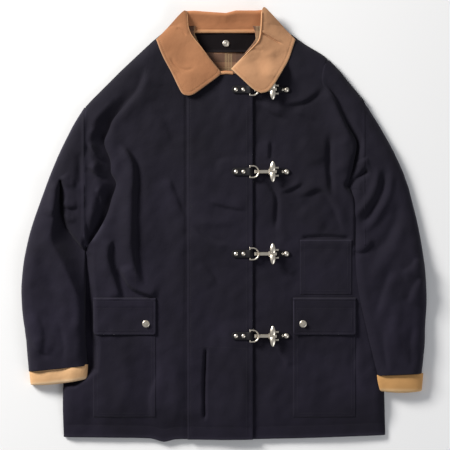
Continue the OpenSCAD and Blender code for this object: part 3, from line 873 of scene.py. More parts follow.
def make_body():
    pieces = {}
    # back: one sheet on the floor, turned up a little at its edges
    back_left = lambda y: np.where(y < -46, by_height(SIDE_RIGHT, y),
                                   np.where(y < 240, -279, by_height(SHOULDER_RIGHT, y)))
    back_right = lambda y: np.where(y < -46, by_height(SIDE_LEFT, y),
                                    np.where(y < 249, 279, by_height(SHOULDER_LEFT, y)))
    x, y = row_grid(-425, 400, 130, 110, back_left, back_right, 1.0, HEM + [0, 2])
    edge = np.minimum(near(x, y, SHOULDERS[0])[0], near(x, y, SHOULDERS[1])[0])
    edge = np.minimum(edge, np.minimum(near(x, y, SIDES[0])[0], near(x, y, SIDES[1])[0]))
    uneven = 0.2 * (wander(x, y) + 1) * ease(edge / 20) * ease((378 - y) / 25)
    z = 1.4 + 0.9 * np.exp(-((edge / 6) ** 2)) + uneven
    back = sheet_object("back_cloth", x, y, np.maximum(z, 1.35), NAVY, 1.2)
    mark_wear_and_highlight(back, [HEM], 5)
    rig.ride(back, "coat")
    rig.replaces(back, "back_panel", "seam_strips")
    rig.slot(back, "navy_cotton")
    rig.sheet(back, **cut_from(x, y), held="laid", rests_on=["floor"])

    # back lining, which shows in the neck
    x, y = row_grid(-398, 383, 120, 90, lambda y: back_left(y) * 0.955, lambda y: back_right(y) * 0.955)
    z = 3.4 + 0.5 * (wander(x * 1.3 + 40, y) + 1)
    flattest = 5.5 - 2.4 * ease((np.abs(x) - 222) / 25)
    lining = sheet_object("back_lining_cloth", x, y, np.clip(z, 2.7, flattest), PLAID, 0.7)
    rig.ride(lining, "coat")
    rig.replaces(lining, "back_lining")
    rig.slot(lining, "plaid_lining")
    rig.sheet(lining, **cut_from(x, y), held="laid", rests_on=["back_cloth"])

    # facing inside the back neck, with its rolled lower edge
    t, u = np.meshgrid(np.linspace(0, 1, 26), np.linspace(-1, 1, 90), indexing="ij")
    half = 88 - 9 * t
    x = u * half
    y = 349 + 39 * t - 3.5 * (1 - u**2) * (1 - t) * 0.4
    z = 6.2 + 2.6 * t**2 + 0.9 * np.sin(u * 5.1 + 1) * t + 0.8 * np.exp(-(t / 0.05) ** 2)
    facing = sheet_object("neck_facing_cloth", x, y, z, FACING, 1.1)
    mark_wear_and_highlight(facing, [[(-88, 349), (88, 349)]], 3)
    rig.ride(facing, "coat")
    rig.replaces(facing, "neck_facing")
    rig.slot(facing, "navy_cotton")
    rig.sheet(facing, **cut_from(x, y), held="laid", rests_on=["back_lining_cloth"])

    # fronts
    def tuck_right(y):
        return np.where(y < -46, by_height(SIDE_RIGHT, y),
                        np.where(y < 362, by_height(TUCK_RIGHT, y), by_height(SHOULDER_RIGHT, y)))

    def tuck_left(y):
        return np.where(y < -46, by_height(SIDE_LEFT, y),
                        np.where(y < 331, by_height(TUCK_LEFT, y), by_height(SHOULDER_LEFT, y)))

    right_inner = lambda y: np.where(y < 320, -52, by_height(ROLL_RIGHT, np.maximum(y, 320)) - 2)
    left_inner = lambda y: np.where(y < 315, 36 - 10 * ease((y - 270) / 45),
                                    by_height(ROLL_LEFT, np.maximum(y, 315)) + 2)
    x, y = row_grid(-426, 399, 265, 92, tuck_right, right_inner, 1.35, HEM)
    z = right_surface(x, y)
    right = sheet_object("right_front_cloth", x, y, z, NAVY)
    mark_wear_and_highlight(right, [HEM, smooth(TUCK_RIGHT[4:10])], 5)
    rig.replaces(right, "right_front_panel", "front_corner_panel")
    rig.slot(right, "navy_cotton")
    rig.sheet(right, **cut_from(x, y), held="laid", rests_on=["right_lining_cloth"])
    pieces["right"] = right
    x, y, z = inset_lining(x, y, z, 0)
    lining = sheet_object("right_lining_cloth", x, y, np.minimum(np.maximum(z - 2.0, 4.4), z - 1.5),
                          PLAID, 0.7)
    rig.replaces(lining, "right_front_lining", "front_corner_lining")
    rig.slot(lining, "plaid_lining")
    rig.sheet(lining, **cut_from(x, y), held="laid", rests_on=["back_lining_cloth"])
    pieces["right_lining"] = lining

    x, y = row_grid(-424, 399, 265, 98, left_inner, tuck_left, -1.35, HEM)
    z = left_surface(x, y)
    left = sheet_object("left_front_cloth", x, y, z, NAVY)
    mark_wear_and_highlight(left, [HEM, smooth(TUCK_LEFT[3:8])], 5)
    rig.ride(left, "coat")
    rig.replaces(left, "left_front_panel")
    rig.slot(left, "navy_cotton")
    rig.sheet(left, **cut_from(x, y), held="laid", rests_on=["left_lining_cloth"])
    x, y, z = inset_lining(x, y, z, -1)
    lining = sheet_object("left_lining_cloth", x, y, np.minimum(np.maximum(z - 2.0, 4.4), z - 1.5),
                          PLAID, 0.7)
    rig.ride(lining, "coat")
    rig.replaces(lining, "left_front_lining")
    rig.slot(lining, "plaid_lining")
    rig.sheet(lining, **cut_from(x, y), held="laid", rests_on=["back_lining_cloth"])
    return pieces


TUCK_RIM = 7.0


def tucked(x, y, z, line):
    """Curls a front's edge down where the shoulder's cloth goes in under it."""
    path = smooth(line)
    d, _, t = near(x, y, path)
    depth = ease(t / 0.08) * ease((0.78 - t) / 0.25)
    rim = 1 - rolled(d, TUCK_RIM + 3)
    bulge = 1.6 * np.exp(-(((d - 12) / 9) ** 2))
    flush = 1.0 * (1 - depth) * (1 - rolled(d, 3.5))
    return np.maximum(z - depth * (8.0 * rim - bulge) - flush, 3.3)


CLASPS = [tuple((a + b) / 2 for a,
                b in zip(*(np.array(c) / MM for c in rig.box(f"hook_{n}")))) for n in (1, 2, 3, 4)]


def settle(x, y, z, level, low_x, high_x):
    """Brings the cloth to the level that the clasps are sewn on at, from low_x to high_x at each clasp."""
    for _, clasp_y, _ in CLASPS:
        dx = np.maximum(np.maximum(low_x - x, x - high_x), 0)
        dy = np.maximum(np.abs(y - clasp_y) - 9, 0)
        near_it = ease(1 - np.hypot(dx, dy) / 26)
        z = z + (level - z) * near_it
    return z


def placket_z(x, y):
    z = front_z(x, y) + 3.0 + 2.6 * ease((x + 30) / 50)
    return settle(x, y, z, 26.2, 12, 60)


def placket_surface(x, y):
    z = placket_z(x, y)
    z = z - 1.0 * (1 - rolled(x - PLACKET_SEAM, 2.5)) - 1.6 * (1 - rolled(PLACKET_EDGE - x, 4.0))
    z = z - 0.7 * np.exp(-(((x - PLACKET_EDGE + 7) / 1.8) ** 2))
    z = z - 0.6 * np.exp(-(((x - PLACKET_SEAM - 6) / 1.8) ** 2))
    return hem_band(z, y, x)


def left_surface(x, y):
    z = hem_band(front_z(x, y), y, x)
    z = settle(x, y, z, 20.4, 60, 128) - 1.2 * ease((66 - x) / 16)
    return tucked(x, y, z, TUCK_LEFT)


def right_surface(x, y):
    """The right front, which dips beside the placket's seam."""
    z = hem_band(front_z(x, y), y, x) - 1.8 * np.exp(-(((x - PLACKET_SEAM + 3) / 2.6) ** 2))
    return tucked(x, y, z, TUCK_RIGHT)


def make_placket():
    order = np.argsort(HEM[:, 0])
    t = np.linspace(0, 1, 250)[:, None]
    u = np.linspace(0, 1, 48)[None, :]
    x = PLACKET_SEAM + (PLACKET_EDGE - PLACKET_SEAM) * u + 0 * t
    bottom = np.interp(x, HEM[order, 0], HEM[order, 1]) - 0.5
    top = np.where(x < -11, np.interp(x, [-74, -72, -11], [392, 389, 306]),
                   306 - 3 * np.sin((x + 11) / 68 * 3.1))
    y = bottom + (top - bottom) * t
    piece = sheet_object("placket_cloth", x, y, placket_surface(x, y), NAVY, 2.8)
    mark_wear_and_highlight(piece, [[(PLACKET_EDGE, 300), (PLACKET_EDGE, -430)], HEM], 3.5)
    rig.replaces(piece, "placket", "placket_corner")
    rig.slot(piece, "navy_cotton")
    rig.sheet(piece, **cut_from(x, y), held="laid", rests_on=["right_front_cloth", "left_front_cloth"])
    return piece


def make_shoulders():
    """The cloth between each armhole and the fold where it tucks in under the front."""
    out = []
    for side, name in ((0, "right_shoulder_cloth"), (1, "left_shoulder_cloth")):
        sign = (-1, 1)[side]
        tuck = (TUCK_RIGHT, TUCK_LEFT)[side]
        shoulder = (SHOULDER_RIGHT, SHOULDER_LEFT)[side]
        low, high = ((-46, 361), (-40, 330))[side]
        armhole_top = shoulder[0][1]
        rim = lambda y: np.where(y < armhole_top - 6, sign * (ARMHOLE + 3.0),
                                 by_height(shoulder, np.maximum(y, armhole_top)))
        path = smooth(tuck)
        hidden = lambda y: by_height(tuck, y) - sign * 34 * ease((y - low) / 30) * ease((high - y) / 60)
        x, y = row_grid(low, high, 150, 60, rim, hidden, 1.0)
        z = front_z(x, y)
        _, _, t = near(x, y, path)
        under = np.abs(x) - np.abs(by_height(tuck, y))
        depth = ease(t / 0.05) * ease((0.80 - t) / 0.25)
        sink = ease(((38, 20)[side] - under) / (42, 26)[side])
        ridge = (4.5, 2.0)[side] * ease((ARMHOLE - np.abs(x)) / (15, 25)[side])
        z = z + ridge * depth * np.exp(-(((under - 30) / 14) ** 2))
        z = z - depth * sink * np.clip(z - 6.0, 0, 30) - (1 - depth) * 1.8 * ease((-1.5 - under) / 3)
        # the seam is lapped over the sleeve's edge
        lap = ease((np.abs(x) - ARMHOLE + 6) / 6) * ease((armhole_top - 2 - y) / 10)
        z = z + lap * (np.maximum(sleeve_z(x, y, side) + (1.2, 0.5)[side], z + 0.3) - z)
        z = z - (0, 1.3)[side] * ease((np.abs(x) - ARMHOLE - 0.3) / 2.5)
        piece = sheet_object(name, x, y, np.maximum(z, 5.0), NAVY)
        # pale line down the right armhole seam: partly seam wear, partly a painted highlight for the light caught by
        # the lapped edge; it reaches only the right shoulder
        mark_wear_and_highlight(piece, [[(-ARMHOLE, 240), (-ARMHOLE, -40)]], 3)
        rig.slot(piece, "navy_cotton")
        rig.sheet(piece, **cut_from(x, y), held="laid", rests_on=["back_lining_cloth"])
        out.append(piece)
    return out


# ---------------------------------------------------------------- sleeves
def stations(pairs, count):
    inner = np.array([a for a, _ in pairs], float)
    outer = np.array([b for _, b in pairs], float)
    middle = (inner + outer) / 2
    run = np.concatenate([[0], np.cumsum(np.linalg.norm(np.diff(outer, axis=0), axis=1)
                                         + 0.5 * np.linalg.norm(np.diff(middle, axis=0), axis=1))])
    at = np.linspace(0, run[-1], count)
    both = np.stack([np.interp(at, run, line[:, k]) for line in (inner, outer) for k in (0, 1)], -1)
    kernel = np.array([1, 2, 3, 2, 1]) / 9
    padded = np.vstack([both[:1]] * 2 + [both] + [both[-1:]] * 2)
    return sum(k * padded[i:i + count] for i, k in enumerate(kernel))


def make_sleeves():
    out = []
    for side, (pairs, name, body) in enumerate(((SLEEVE_RIGHT, "right_sleeve_cloth", "sleeve_right"),
                                                (SLEEVE_LEFT, "left_sleeve_cloth", "sleeve_left"))):
        ends = stations(pairs, 210)
        across = 46
        u = (1 - np.cos(np.linspace(0, math.pi, across))) / 2
        u = 0.5 * u + 0.5 * np.linspace(0, 1, across)
        upper = u[None, :]
        x = ends[:, 0:1] * (1 - upper) + ends[:, 2:3] * upper
        y = ends[:, 1:2] * (1 - upper) + ends[:, 3:4] * upper
        top = sleeve_z(x, y, side)
        base = sleeve_base(x, y, side)
        under = slice(across - 2, 0, -1)
        xs = np.concatenate([x, x[:, under]], 1)
        ys = np.concatenate([y, y[:, under]], 1)
        zs = np.concatenate([top, np.maximum(base[:, under] + 0.15 * wander(x, y)[:, under], 1.4)], 1)
        if side == 0:
            xs, ys, zs = xs[:, ::-1], ys[:, ::-1], zs[:, ::-1]
        piece = sheet_object(name, xs, ys, zs, NAVY, 1.2, closed=True)
        mark_wear_and_highlight(piece, [OUTERS[side]], 4)
        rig.replaces(piece, f"{body[7:]}_upper_sleeve", f"{body[7:]}_under_sleeve",
                    f"{body[7:]}_sleeve_seams")
        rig.slot(piece, "navy_cotton")
        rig.sheet(piece, flat=(0.26, 0.62), held="laid", area=0.115, rests_on=["floor", "right_front_cloth"])
        out.append(piece)
        out.append(make_cuff(side))
    return out


CUFF_ENDS = (((-276, -279), (-390, -291), (-277, -306), (-387, -319)),
             ((304, -300), (397, -297), (308, -330), (394, -331)))


def make_cuff(side):
    """The turned cuff: a flattened band round the sleeve's end, its lower edge folded."""
    a, b, c, d = (np.array(p, float) for p in CUFF_ENDS[side])
    rows, half = 26, 40
    t = np.linspace(0, 1, rows)[:, None]
    turn = np.linspace(0, math.pi, half)
    u = ((1 - np.cos(turn)) / 2)[None, :]
    inner, outer = a + (c - a) * t, b + (d - b) * t
    outer_bow = 1.5 * np.sin(math.pi * t)
    x = inner[:, 0:1] * (1 - u) + outer[:, 0:1] * u
    y = inner[:, 1:2] * (1 - u) + outer[:, 1:2] * u - 3.0 * np.sin(math.pi * u) * t
    base = sleeve_base(x, np.full(x.shape, -240.0), side)
    rise = np.sin(turn)[None, :] ** 0.55
    height = 17.5 - 2.2 * t + outer_bow + 0.5 * np.sin(x / 9 + y / 14)
    # seam pressed near the upper edge and rounded rims
    shape = height * rise - 0.8 * np.exp(-(((t - 0.14) / 0.045) ** 2)) * rise
    shape = shape - 2.6 * (1 - rolled(t, 0.09)) * rise
    shape = shape - 2.4 * (1 - rolled(1 - t, 0.12)) * rise
    top = base + 1.0 + shape
    low = base + 0.2 * (1 - rise)
    under = slice(half - 2, 0, -1)
    xs = np.concatenate([x, x[:, under]], 1)
    ys = np.concatenate([y, y[:, under]], 1)
    zs = np.concatenate([top, low[:, under]], 1)
    if side == 0:
        xs, ys, zs = xs[:, ::-1], ys[:, ::-1], zs[:, ::-1]
    name = ("right", "left")[side]
    piece = sheet_object(f"{name}_cuff_cloth", xs, ys, np.maximum(zs, 1.6), (TAN_LIGHT, TAN_CUFF)[side],
                         2.2, closed=True)
    mark_wear_and_highlight(piece, [(c, d)], 3.5)
    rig.ride(piece, f"sleeve_{name}")
    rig.replaces(piece, f"{name}_cuff")
    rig.slot(piece, "tan_canvas")
    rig.sheet(piece, flat=(0.235, 0.034) if side == 0 else (0.20, 0.034), held="folded", rests_on=["floor"])
    return piece


# ---------------------------------------------------------------- collar
ROLL_EDGE = (smooth([(-7, 306), (-24, 327), (-46, 356), (-69, 388), (-74, 426)]),
             smooth([(13, 312), (38, 338), (58, 359), (66, 368), (70, 380), (72, 400), (73, 425)]))
LEAF_FRONT = (smooth([(-7, 306), (-10, 299), (-34, 281), (-61, 262), (-72, 259)], 3),
              smooth([(13, 312), (20, 305), (38, 288), (58, 270), (73, 263)], 3))
LEAF_OUTER = (smooth([(-72, 259), (-83, 262), (-91, 274), (-106, 305), (-124, 339), (-137, 372)], 3),
              smooth([(73, 263), (87, 267), (100, 282), (115, 307), (129, 333), (142, 372)], 3))
LEAF_BACK = (smooth([(-74, 426), (-80, 429), (-92, 419), (-110, 400), (-137, 372)], 3),
             smooth([(73, 425), (79, 436), (92, 425), (114, 402), (142, 372)], 3))


# creases in each leaf: the line, its width and its depth; a negative depth is a ridge
LEAF_CREASES = (
    [([(-110, 337), (-99, 321), (-86, 312), (-71, 310), (-58, 315)], 3.0, 1.5),
     ([(-97, 395), (-84, 388), (-76, 378)], 2.6, 1.6), ([(-112, 350), (-100, 330), (-92, 300)], 13, -1.2)],
    [([(68, 387), (84, 379), (100, 370), (117, 361)], 1.6, 3.4),
     ([(54, 352), (66, 350), (78, 347)], 3.0, 1.0),
     ([(90, 352), (92, 320), (86, 288)], 13, -2.0), ([(58, 336), (70, 310), (72, 288)], 12, 1.4)])


def resample(path, count, crowd=0.5):
    """count points along a path, closer together towards its ends."""
    run = np.concatenate([[0], np.cumsum(np.linalg.norm(np.diff(path, axis=0), axis=1))])
    t = np.linspace(0, 1, count)
    t = (1 - crowd) * t + crowd * (1 - np.cos(math.pi * t)) / 2
    return np.stack([np.interp(t * run[-1], run, path[:, k]) for k in range(path.shape[1])], -1), t


def patch(low, high, start, finish, rows, columns):
    """A grid inside four curves: low and high run along the columns, start and finish along the rows."""
    low, u = resample(low, columns)
    high, _ = resample(high, columns)
    start, v = resample(start, rows)
    finish, _ = resample(finish, rows)
    u, v = u[None, :, None], v[:, None, None]
    flat = (1 - v) * low[None] + v * high[None] + (1 - u) * start[:, None] + u * finish[:, None]
    corners = (1 - u) * (1 - v) * low[0] + u * (1 - v) * low[-1] + (1 - u) * v * high[0] + u * v * high[-1]
    return flat - corners, u[..., 0], v[..., 0]


def soft_front(x, y):
    """The fronts without their creases, for what lies over them."""
    in_from = np.minimum(-near(x, y, SHOULDERS[0])[1], near(x, y, SHOULDERS[1])[1])
    z = EDGE_Z + BODY_RISE * rolled(in_from + 4, 30) + 0.6 * wander(x * 0.7, y)
    over = ease((x - PLACKET_SEAM + 44) / 54) * ease((PLACKET_EDGE + 30 - x) / 40) * ease((330 - y) / 30)
    return z + 7.5 * over


def make_leaves():
    for side, (name, body) in enumerate((("right_collar_leaf", "collar_right"),
                                         ("left_collar_leaf", "collar_left"))):
        grid, u, v = patch(LEAF_FRONT[side], LEAF_BACK[side], ROLL_EDGE[side], LEAF_OUTER[side], 150, 84)
        x, y = grid[..., 0], grid[..., 1]
        rest = np.maximum(soft_front(x, y) + 3.4, 9 + 9 * ease((v - 0.5) / 0.4) * (1 - u) + 0 * x)
        top = (31.5, 33.5)[side] - (4.5, 6.5)[side] * ease(v / 0.7)
        drop = ease(u / (0.92 - 0.12 * v)) ** 0.9
        z = top + (rest - top) * drop
        if side == 1:
            clasp = near(x, y, np.array([(52.0, 271.0), (100.0, 271.0)]))[0]
            z = z + np.maximum(40.2 - z, 0) * ease(1.6 - clasp / 42)
        # the roll is rounded, the edge is turned in and stitched, and the canvas buckles a little
        z = z - 3.6 * (1 - rolled(u * 60, 7)) + 1.1 * np.sin(v * 7.1 + side * 2) * u * (1 - u) * 2.2
        edge = np.minimum(near(x, y, LEAF_FRONT[side])[0], near(x, y, LEAF_OUTER[side])[0])
        z = z - 0.45 * np.exp(-(((edge - 6.5) / 1.5) ** 2)) - 1.5 * (1 - rolled(edge, 2.8))
        for points, width, depth in LEAF_CREASES[side]:
            path = smooth(points)
            away, lean, t = near(x, y, path)
            fade = ease(t / 0.2) * ease((1 - t) / 0.25)
            z = z - depth * np.exp(-((away / width) ** 2)) * fade
            beside = np.exp(-(((lean - 2.2 * width) / (1.6 * width)) ** 2))
            z = z + 0.5 * depth * beside * fade * (away < 8 * width)
        piece = sheet_object(f"{name}_cloth", x, y, z, (TAN_RIGHT_PAINTED_DARKER, TAN_LEFT_PAINTED_LIGHTER)[side], 2.8)
        if side == 0:
            flip(piece)
        mark_wear_and_highlight(piece, [LEAF_FRONT[side], LEAF_OUTER[side], ROLL_EDGE[side]], 1.8)
        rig.replaces(piece, name)
        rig.slot(piece, "tan_canvas")
        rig.sheet(piece, **cut_from(x, y), held="folded", rests_on=["right_front_cloth", "left_front_cloth"])
        bend_leaf(piece, side, body)
        lines = [inset_line(grid, z, u, v, 6.5, edge)]
        threads = stitches(f"{name}_stitching", lines, TAN_THREAD, "tan_canvas", pitch=4.0, thick=0.36)
        bend_leaf(threads, side, body)


def bend_leaf(piece, side, body):
    sign = (-1, 1)[side]
    run = np.array([(-70.0, 90.0), (58.0, 81.0)][side])
    out = np.array([sign * abs(run[1]), -abs(run[0])]) / np.linalg.norm(run)
    start = ROLL_EDGE[side][12] - 3 * out
    end = start + 16 * out
    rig.blend(piece, "coat", body, start=(*(start * MM), 0.034), end=(*(end * MM), 0.034))


def flip(piece):
    """Turns a mesh's faces over, so that its cloth thickens downwards."""
    piece.data.flip_normals()


def inset_line(grid, z, u, v, inset, edge):
    """A line on a leaf at a fixed distance in from its free edge, from the front round to the back."""
    rows, columns = edge.shape
    points = []
    for c in range(2, columns):
        column = edge[:, c]
        r = int(np.argmin(np.abs(column[: rows // 2] - inset)))
        if abs(column[r] - inset) < 2.5 and u[0, c] < 0.88:
            points.append((*grid[r, c], z[r, c]))
    for r in range(rows):
        row = edge[r]
        c = int(np.argmin(np.abs(row[columns // 2:] - inset))) + columns // 2
        if abs(row[c] - inset) < 2.5 and v[r, 0] > 0.08:
            points.append((*grid[r, c], z[r, c]))
    points = np.array(points)
    kernel = np.ones(5) / 5
    middle = np.stack([np.convolve(points[:, k], kernel, "valid") for k in range(3)], -1)
    return np.vstack([points[:1], middle, points[-1:]])


BAND_SECTION = smooth([(386, 9), (396, 11), (408, 14.5), (418, 18.5), (425, 21.5), (428.5, 21),
                       (429.5, 17.5), (428, 12),
                       (423, 5), (413, 2.6), (398, 2.1), (386, 2.0)], 1.6)


def make_band():
    """The back of the collar: up from the neck seam inside, over the roll and down behind."""
    u = np.linspace(0, 1, 90)[None, :]
    sy, sz = BAND_SECTION[:, 0:1], BAND_SECTION[:, 1:2]
    reach = (sy - 387) / 41
    x = -(76 + 2 * reach) * (1 - u) + (76 + 2 * reach) * u
    top = np.interp(x, [-75, -60, -19, 3, 23, 61, 74], [426, 426.5, 423.5, 422, 427, 427, 428])
    y = 387 + (sy - 387) * (top - 387) / 41
    z = sz + 0.8 * np.sin(x / 17 + 1) * np.clip(reach, 0, 1) * (sz > 6)
    seam = np.exp(-(((sy - 393.5) / 1.3) ** 2)) * (sz > 6) + 0 * u
    z = z - 0.8 * seam + 0.7 * np.exp(-(((sy - 389.5) / 2.2) ** 2)) * (sz > 6)
    piece = sheet_object("collar_band_cloth", x, y, z, TAN_INNER_PAINTED_LIGHT, 1.6)
    flip(piece)
    mark_wear_and_highlight(piece, [[(-70, 388.5), (70, 388.5)]], 3.0)
    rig.ride(piece, "coat")
    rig.replaces(piece, "collar_band", "under_collar")
    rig.slot(piece, "tan_canvas")
    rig.sheet(piece, flat=(0.16, 0.11), held="folded", rests_on=["neck_facing_cloth"])
    row = int(np.argmin(np.abs(BAND_SECTION[:12, 0] - 393.5)))
    line = np.stack([x[row, 3:-3], y[row, 3:-3], z[row, 3:-3]], -1)
    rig.ride(stitches("collar_band_stitching", [line], TAN_THREAD, "tan_canvas", pitch=3.6, thick=0.32),
            "coat")


def make_stands():
    """The standing part of the collar down each side of the neck, hidden under the leaves' roll."""
    vertices, faces = [], []
    for side in (0, 1):
        line, t = resample(ROLL_EDGE[side], 80, 0.0)
        sign = (-1, 1)[side]
        v = np.linspace(0, 1, 12)[None, :]
        x = line[:, 0:1] + sign * (1.0 + 7.0 * (1 - v))
        y = line[:, 1:2] - 3.0 * (1 - v)
        ground = np.where(x < PLACKET_EDGE, placket_z(x, y) - 4.0, front_z(x, y))
        ground = np.where(y > 316, front_z(x, y) + 0.8, ground)
        top = (29.0, 31.0)[side] - 3.5 * t[:, None]
        z = ground + (top - ground) * v
        faces += grid_faces(*x.shape, offset=len(vertices))
        vertices += np.stack([x, y, z], -1).reshape(-1, 3).tolist()
    # the end of the collar's seam, which shows as a narrow strip over the placket's top
    u, v = np.meshgrid(np.linspace(0, 1, 24), np.linspace(0, 1, 8))
    x, y = -9 + 26 * u, 300.5 + 7.0 * v + 1.2 * np.sin(math.pi * u)
    z = 27.2 + 1.6 * np.sin(math.pi * v)
    faces += grid_faces(*x.shape, offset=len(vertices))
    vertices += np.stack([x, y, z], -1).reshape(-1, 3).tolist()
    piece = new_object("collar_stand_cloth", vertices, faces, TAN_INNER_PAINTED_LIGHT)
    thicken(piece, 1.5)
    mark_wear_and_highlight(piece, [ROLL_EDGE[0], ROLL_EDGE[1], [(-9, 304), (17, 304)]], 2.5)
    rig.ride(piece, "coat")
    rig.replaces(piece, "collar_stand")
    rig.slot(piece, "tan_canvas")
    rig.sheet(piece, flat=(0.013, 0.33), held="folded", rests_on=["right_front_cloth", "left_front_cloth"])


# ---------------------------------------------------------------- stitching
def stitches(name, lines, material, slot, pitch=3.8, thick=0.3, lift=0.1):
    """Separate raised stitches along lines of (x, y, z), each a small spindle half sunk in the cloth."""
    vertices, faces = [], []
    for line in lines:
        line = np.asarray(line, float)
        gap = np.linalg.norm(np.diff(line, axis=0), axis=1)
        run = np.concatenate([[0], np.cumsum(gap)])
        for at in np.arange(pitch, run[-1] - pitch, pitch):
            a = np.array([np.interp(at, run, line[:, k]) for k in range(3)])
            b = np.array([np.interp(at + pitch * 0.66, run, line[:, k]) for k in range(3)])
            way = (b - a) / (np.linalg.norm(b - a) + 1e-9)
            across = np.cross(way, (0, 0, 1))
            across /= np.linalg.norm(across) + 1e-9
            up = np.cross(across, way)
            first = len(vertices)
            vertices.append(a - up * thick * 0.8)
            for part, size in ((0.22, 0.85), (0.78, 0.85)):
                centre = a + (b - a) * part + up * lift
                for turn in range(5):
                    angle = turn * math.tau / 5 + 0.3
                    outward = math.cos(angle) * across * 1.25 + math.sin(angle) * up
                    vertices.append(centre + size * thick * outward)
            vertices.append(b - up * thick * 0.8)
            for turn in range(5):
                after = (turn + 1) % 5
                faces.append((first, first + 1 + after, first + 1 + turn))
                faces.append((first + 1 + turn, first + 1 + after, first + 6 + after, first + 6 + turn))
                faces.append((first + 11, first + 6 + turn, first + 6 + after))
    piece = new_object(name, vertices, faces, material)
    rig.slot(piece, slot)
    return piece


def on_surface(points, surface, step=4.0):
    line = smooth(points, step)
    z = surface(line[:, 0], line[:, 1])
    return np.column_stack([line, z])


def hem_line(x_low, x_high, inset, surface):
    order = np.argsort(HEM[:, 0])
    x = np.arange(x_low, x_high, 5.0)
    y = np.interp(x, HEM[order, 0], HEM[order, 1]) + inset
    return np.column_stack([x, y, surface(x, y)])


def make_back_stitching():
    """A seam down the middle of the back, a yoke seam across it and the hem, seen from below."""
    def under(points):
        line = smooth(points, 4)
        return np.column_stack([line, np.full(len(line), 0.3)])

    lines = [under([(side, -418), (side, 0), (side, 252)]) for side in (-3.2, 3.2)]
    lines += [under([(-255, high), (-120, high - 6), (0, high - 9), (120, high - 6),
                     (255, high)]) for high in (262, 268)]
    order = np.argsort(HEM[:, 0])
    x = np.arange(-314, 314, 5.0)
    lines.append(np.column_stack([x, np.interp(x, HEM[order, 0], HEM[order, 1]) + 24,
                                  np.full(len(x), 0.3)]))
    lines += [under([(side * 272, -40), (side * 272, 100), (side * 272, 230)]) for side in (-1, 1)]
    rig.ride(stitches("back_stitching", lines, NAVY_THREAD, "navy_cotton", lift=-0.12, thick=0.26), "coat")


def make_seam_stitching():
    lines = [hem_line(-314, PLACKET_SEAM - 2, 24, right_surface)]
    lines.append(on_surface([(-178, -150), (-178, -30), (-176, 60), (-178, 112)], right_surface))
    front = stitches("right_front_stitching", lines, NAVY_THREAD, "navy_cotton")
    lines = [hem_line(PLACKET_SEAM + 8, PLACKET_EDGE - 9, 24, placket_surface)]
    for inset in (5.0, 11.0):
        lines.append(on_surface([(PLACKET_EDGE - 2 - inset, y) for y in range(-424, 296, 60)],
                                placket_surface))
    lines.append(on_surface([(PLACKET_SEAM + 6, y) for y in range(-424, 385, 60)], placket_surface))
    lines.append(on_surface([(-53, -243), (0, -244), (50, -247)], placket_surface))
    band = stitches("placket_stitching", lines, NAVY_THREAD, "navy_cotton")
    for piece in (front, band):
        bend_corner(piece)
    lines = [hem_line(PLACKET_EDGE + 4, 314, 24, left_surface)]
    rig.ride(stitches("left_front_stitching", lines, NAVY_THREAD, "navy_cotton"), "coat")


# ---------------------------------------------------------------- pockets
def box_mm(name):
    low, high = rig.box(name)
    return [v / MM for v in low], [v / MM for v in high]


WELT = 8.0


def pocket_z(x, y, low, high, welted):
    """A patch pocket over the front: pressed at its sewn edges, with a rolled welt along its mouth."""
    under = left_surface(x, y) if low[0] > 0 else right_surface(x, y)
    rim = np.minimum(np.minimum(x - low[0], high[0] - x), np.minimum(y - low[1], high[1] - y))
    z = under + 1.3 - 1.2 * (1 - rolled(rim, 3.2)) - 0.25 * np.exp(-(((rim - 4.5) / 1.4) ** 2))
    if welted:
        z = z + 3.6 * np.exp(-(((high[1] - WELT / 2 - y) / 3.1) ** 4))
    else:
        z = z + 1.9 * ease((y - high[1] + 24) / 18)
    return z + 0.7 * np.sin(x / 23) * np.sin(y / 31) * ease(rim / 20)


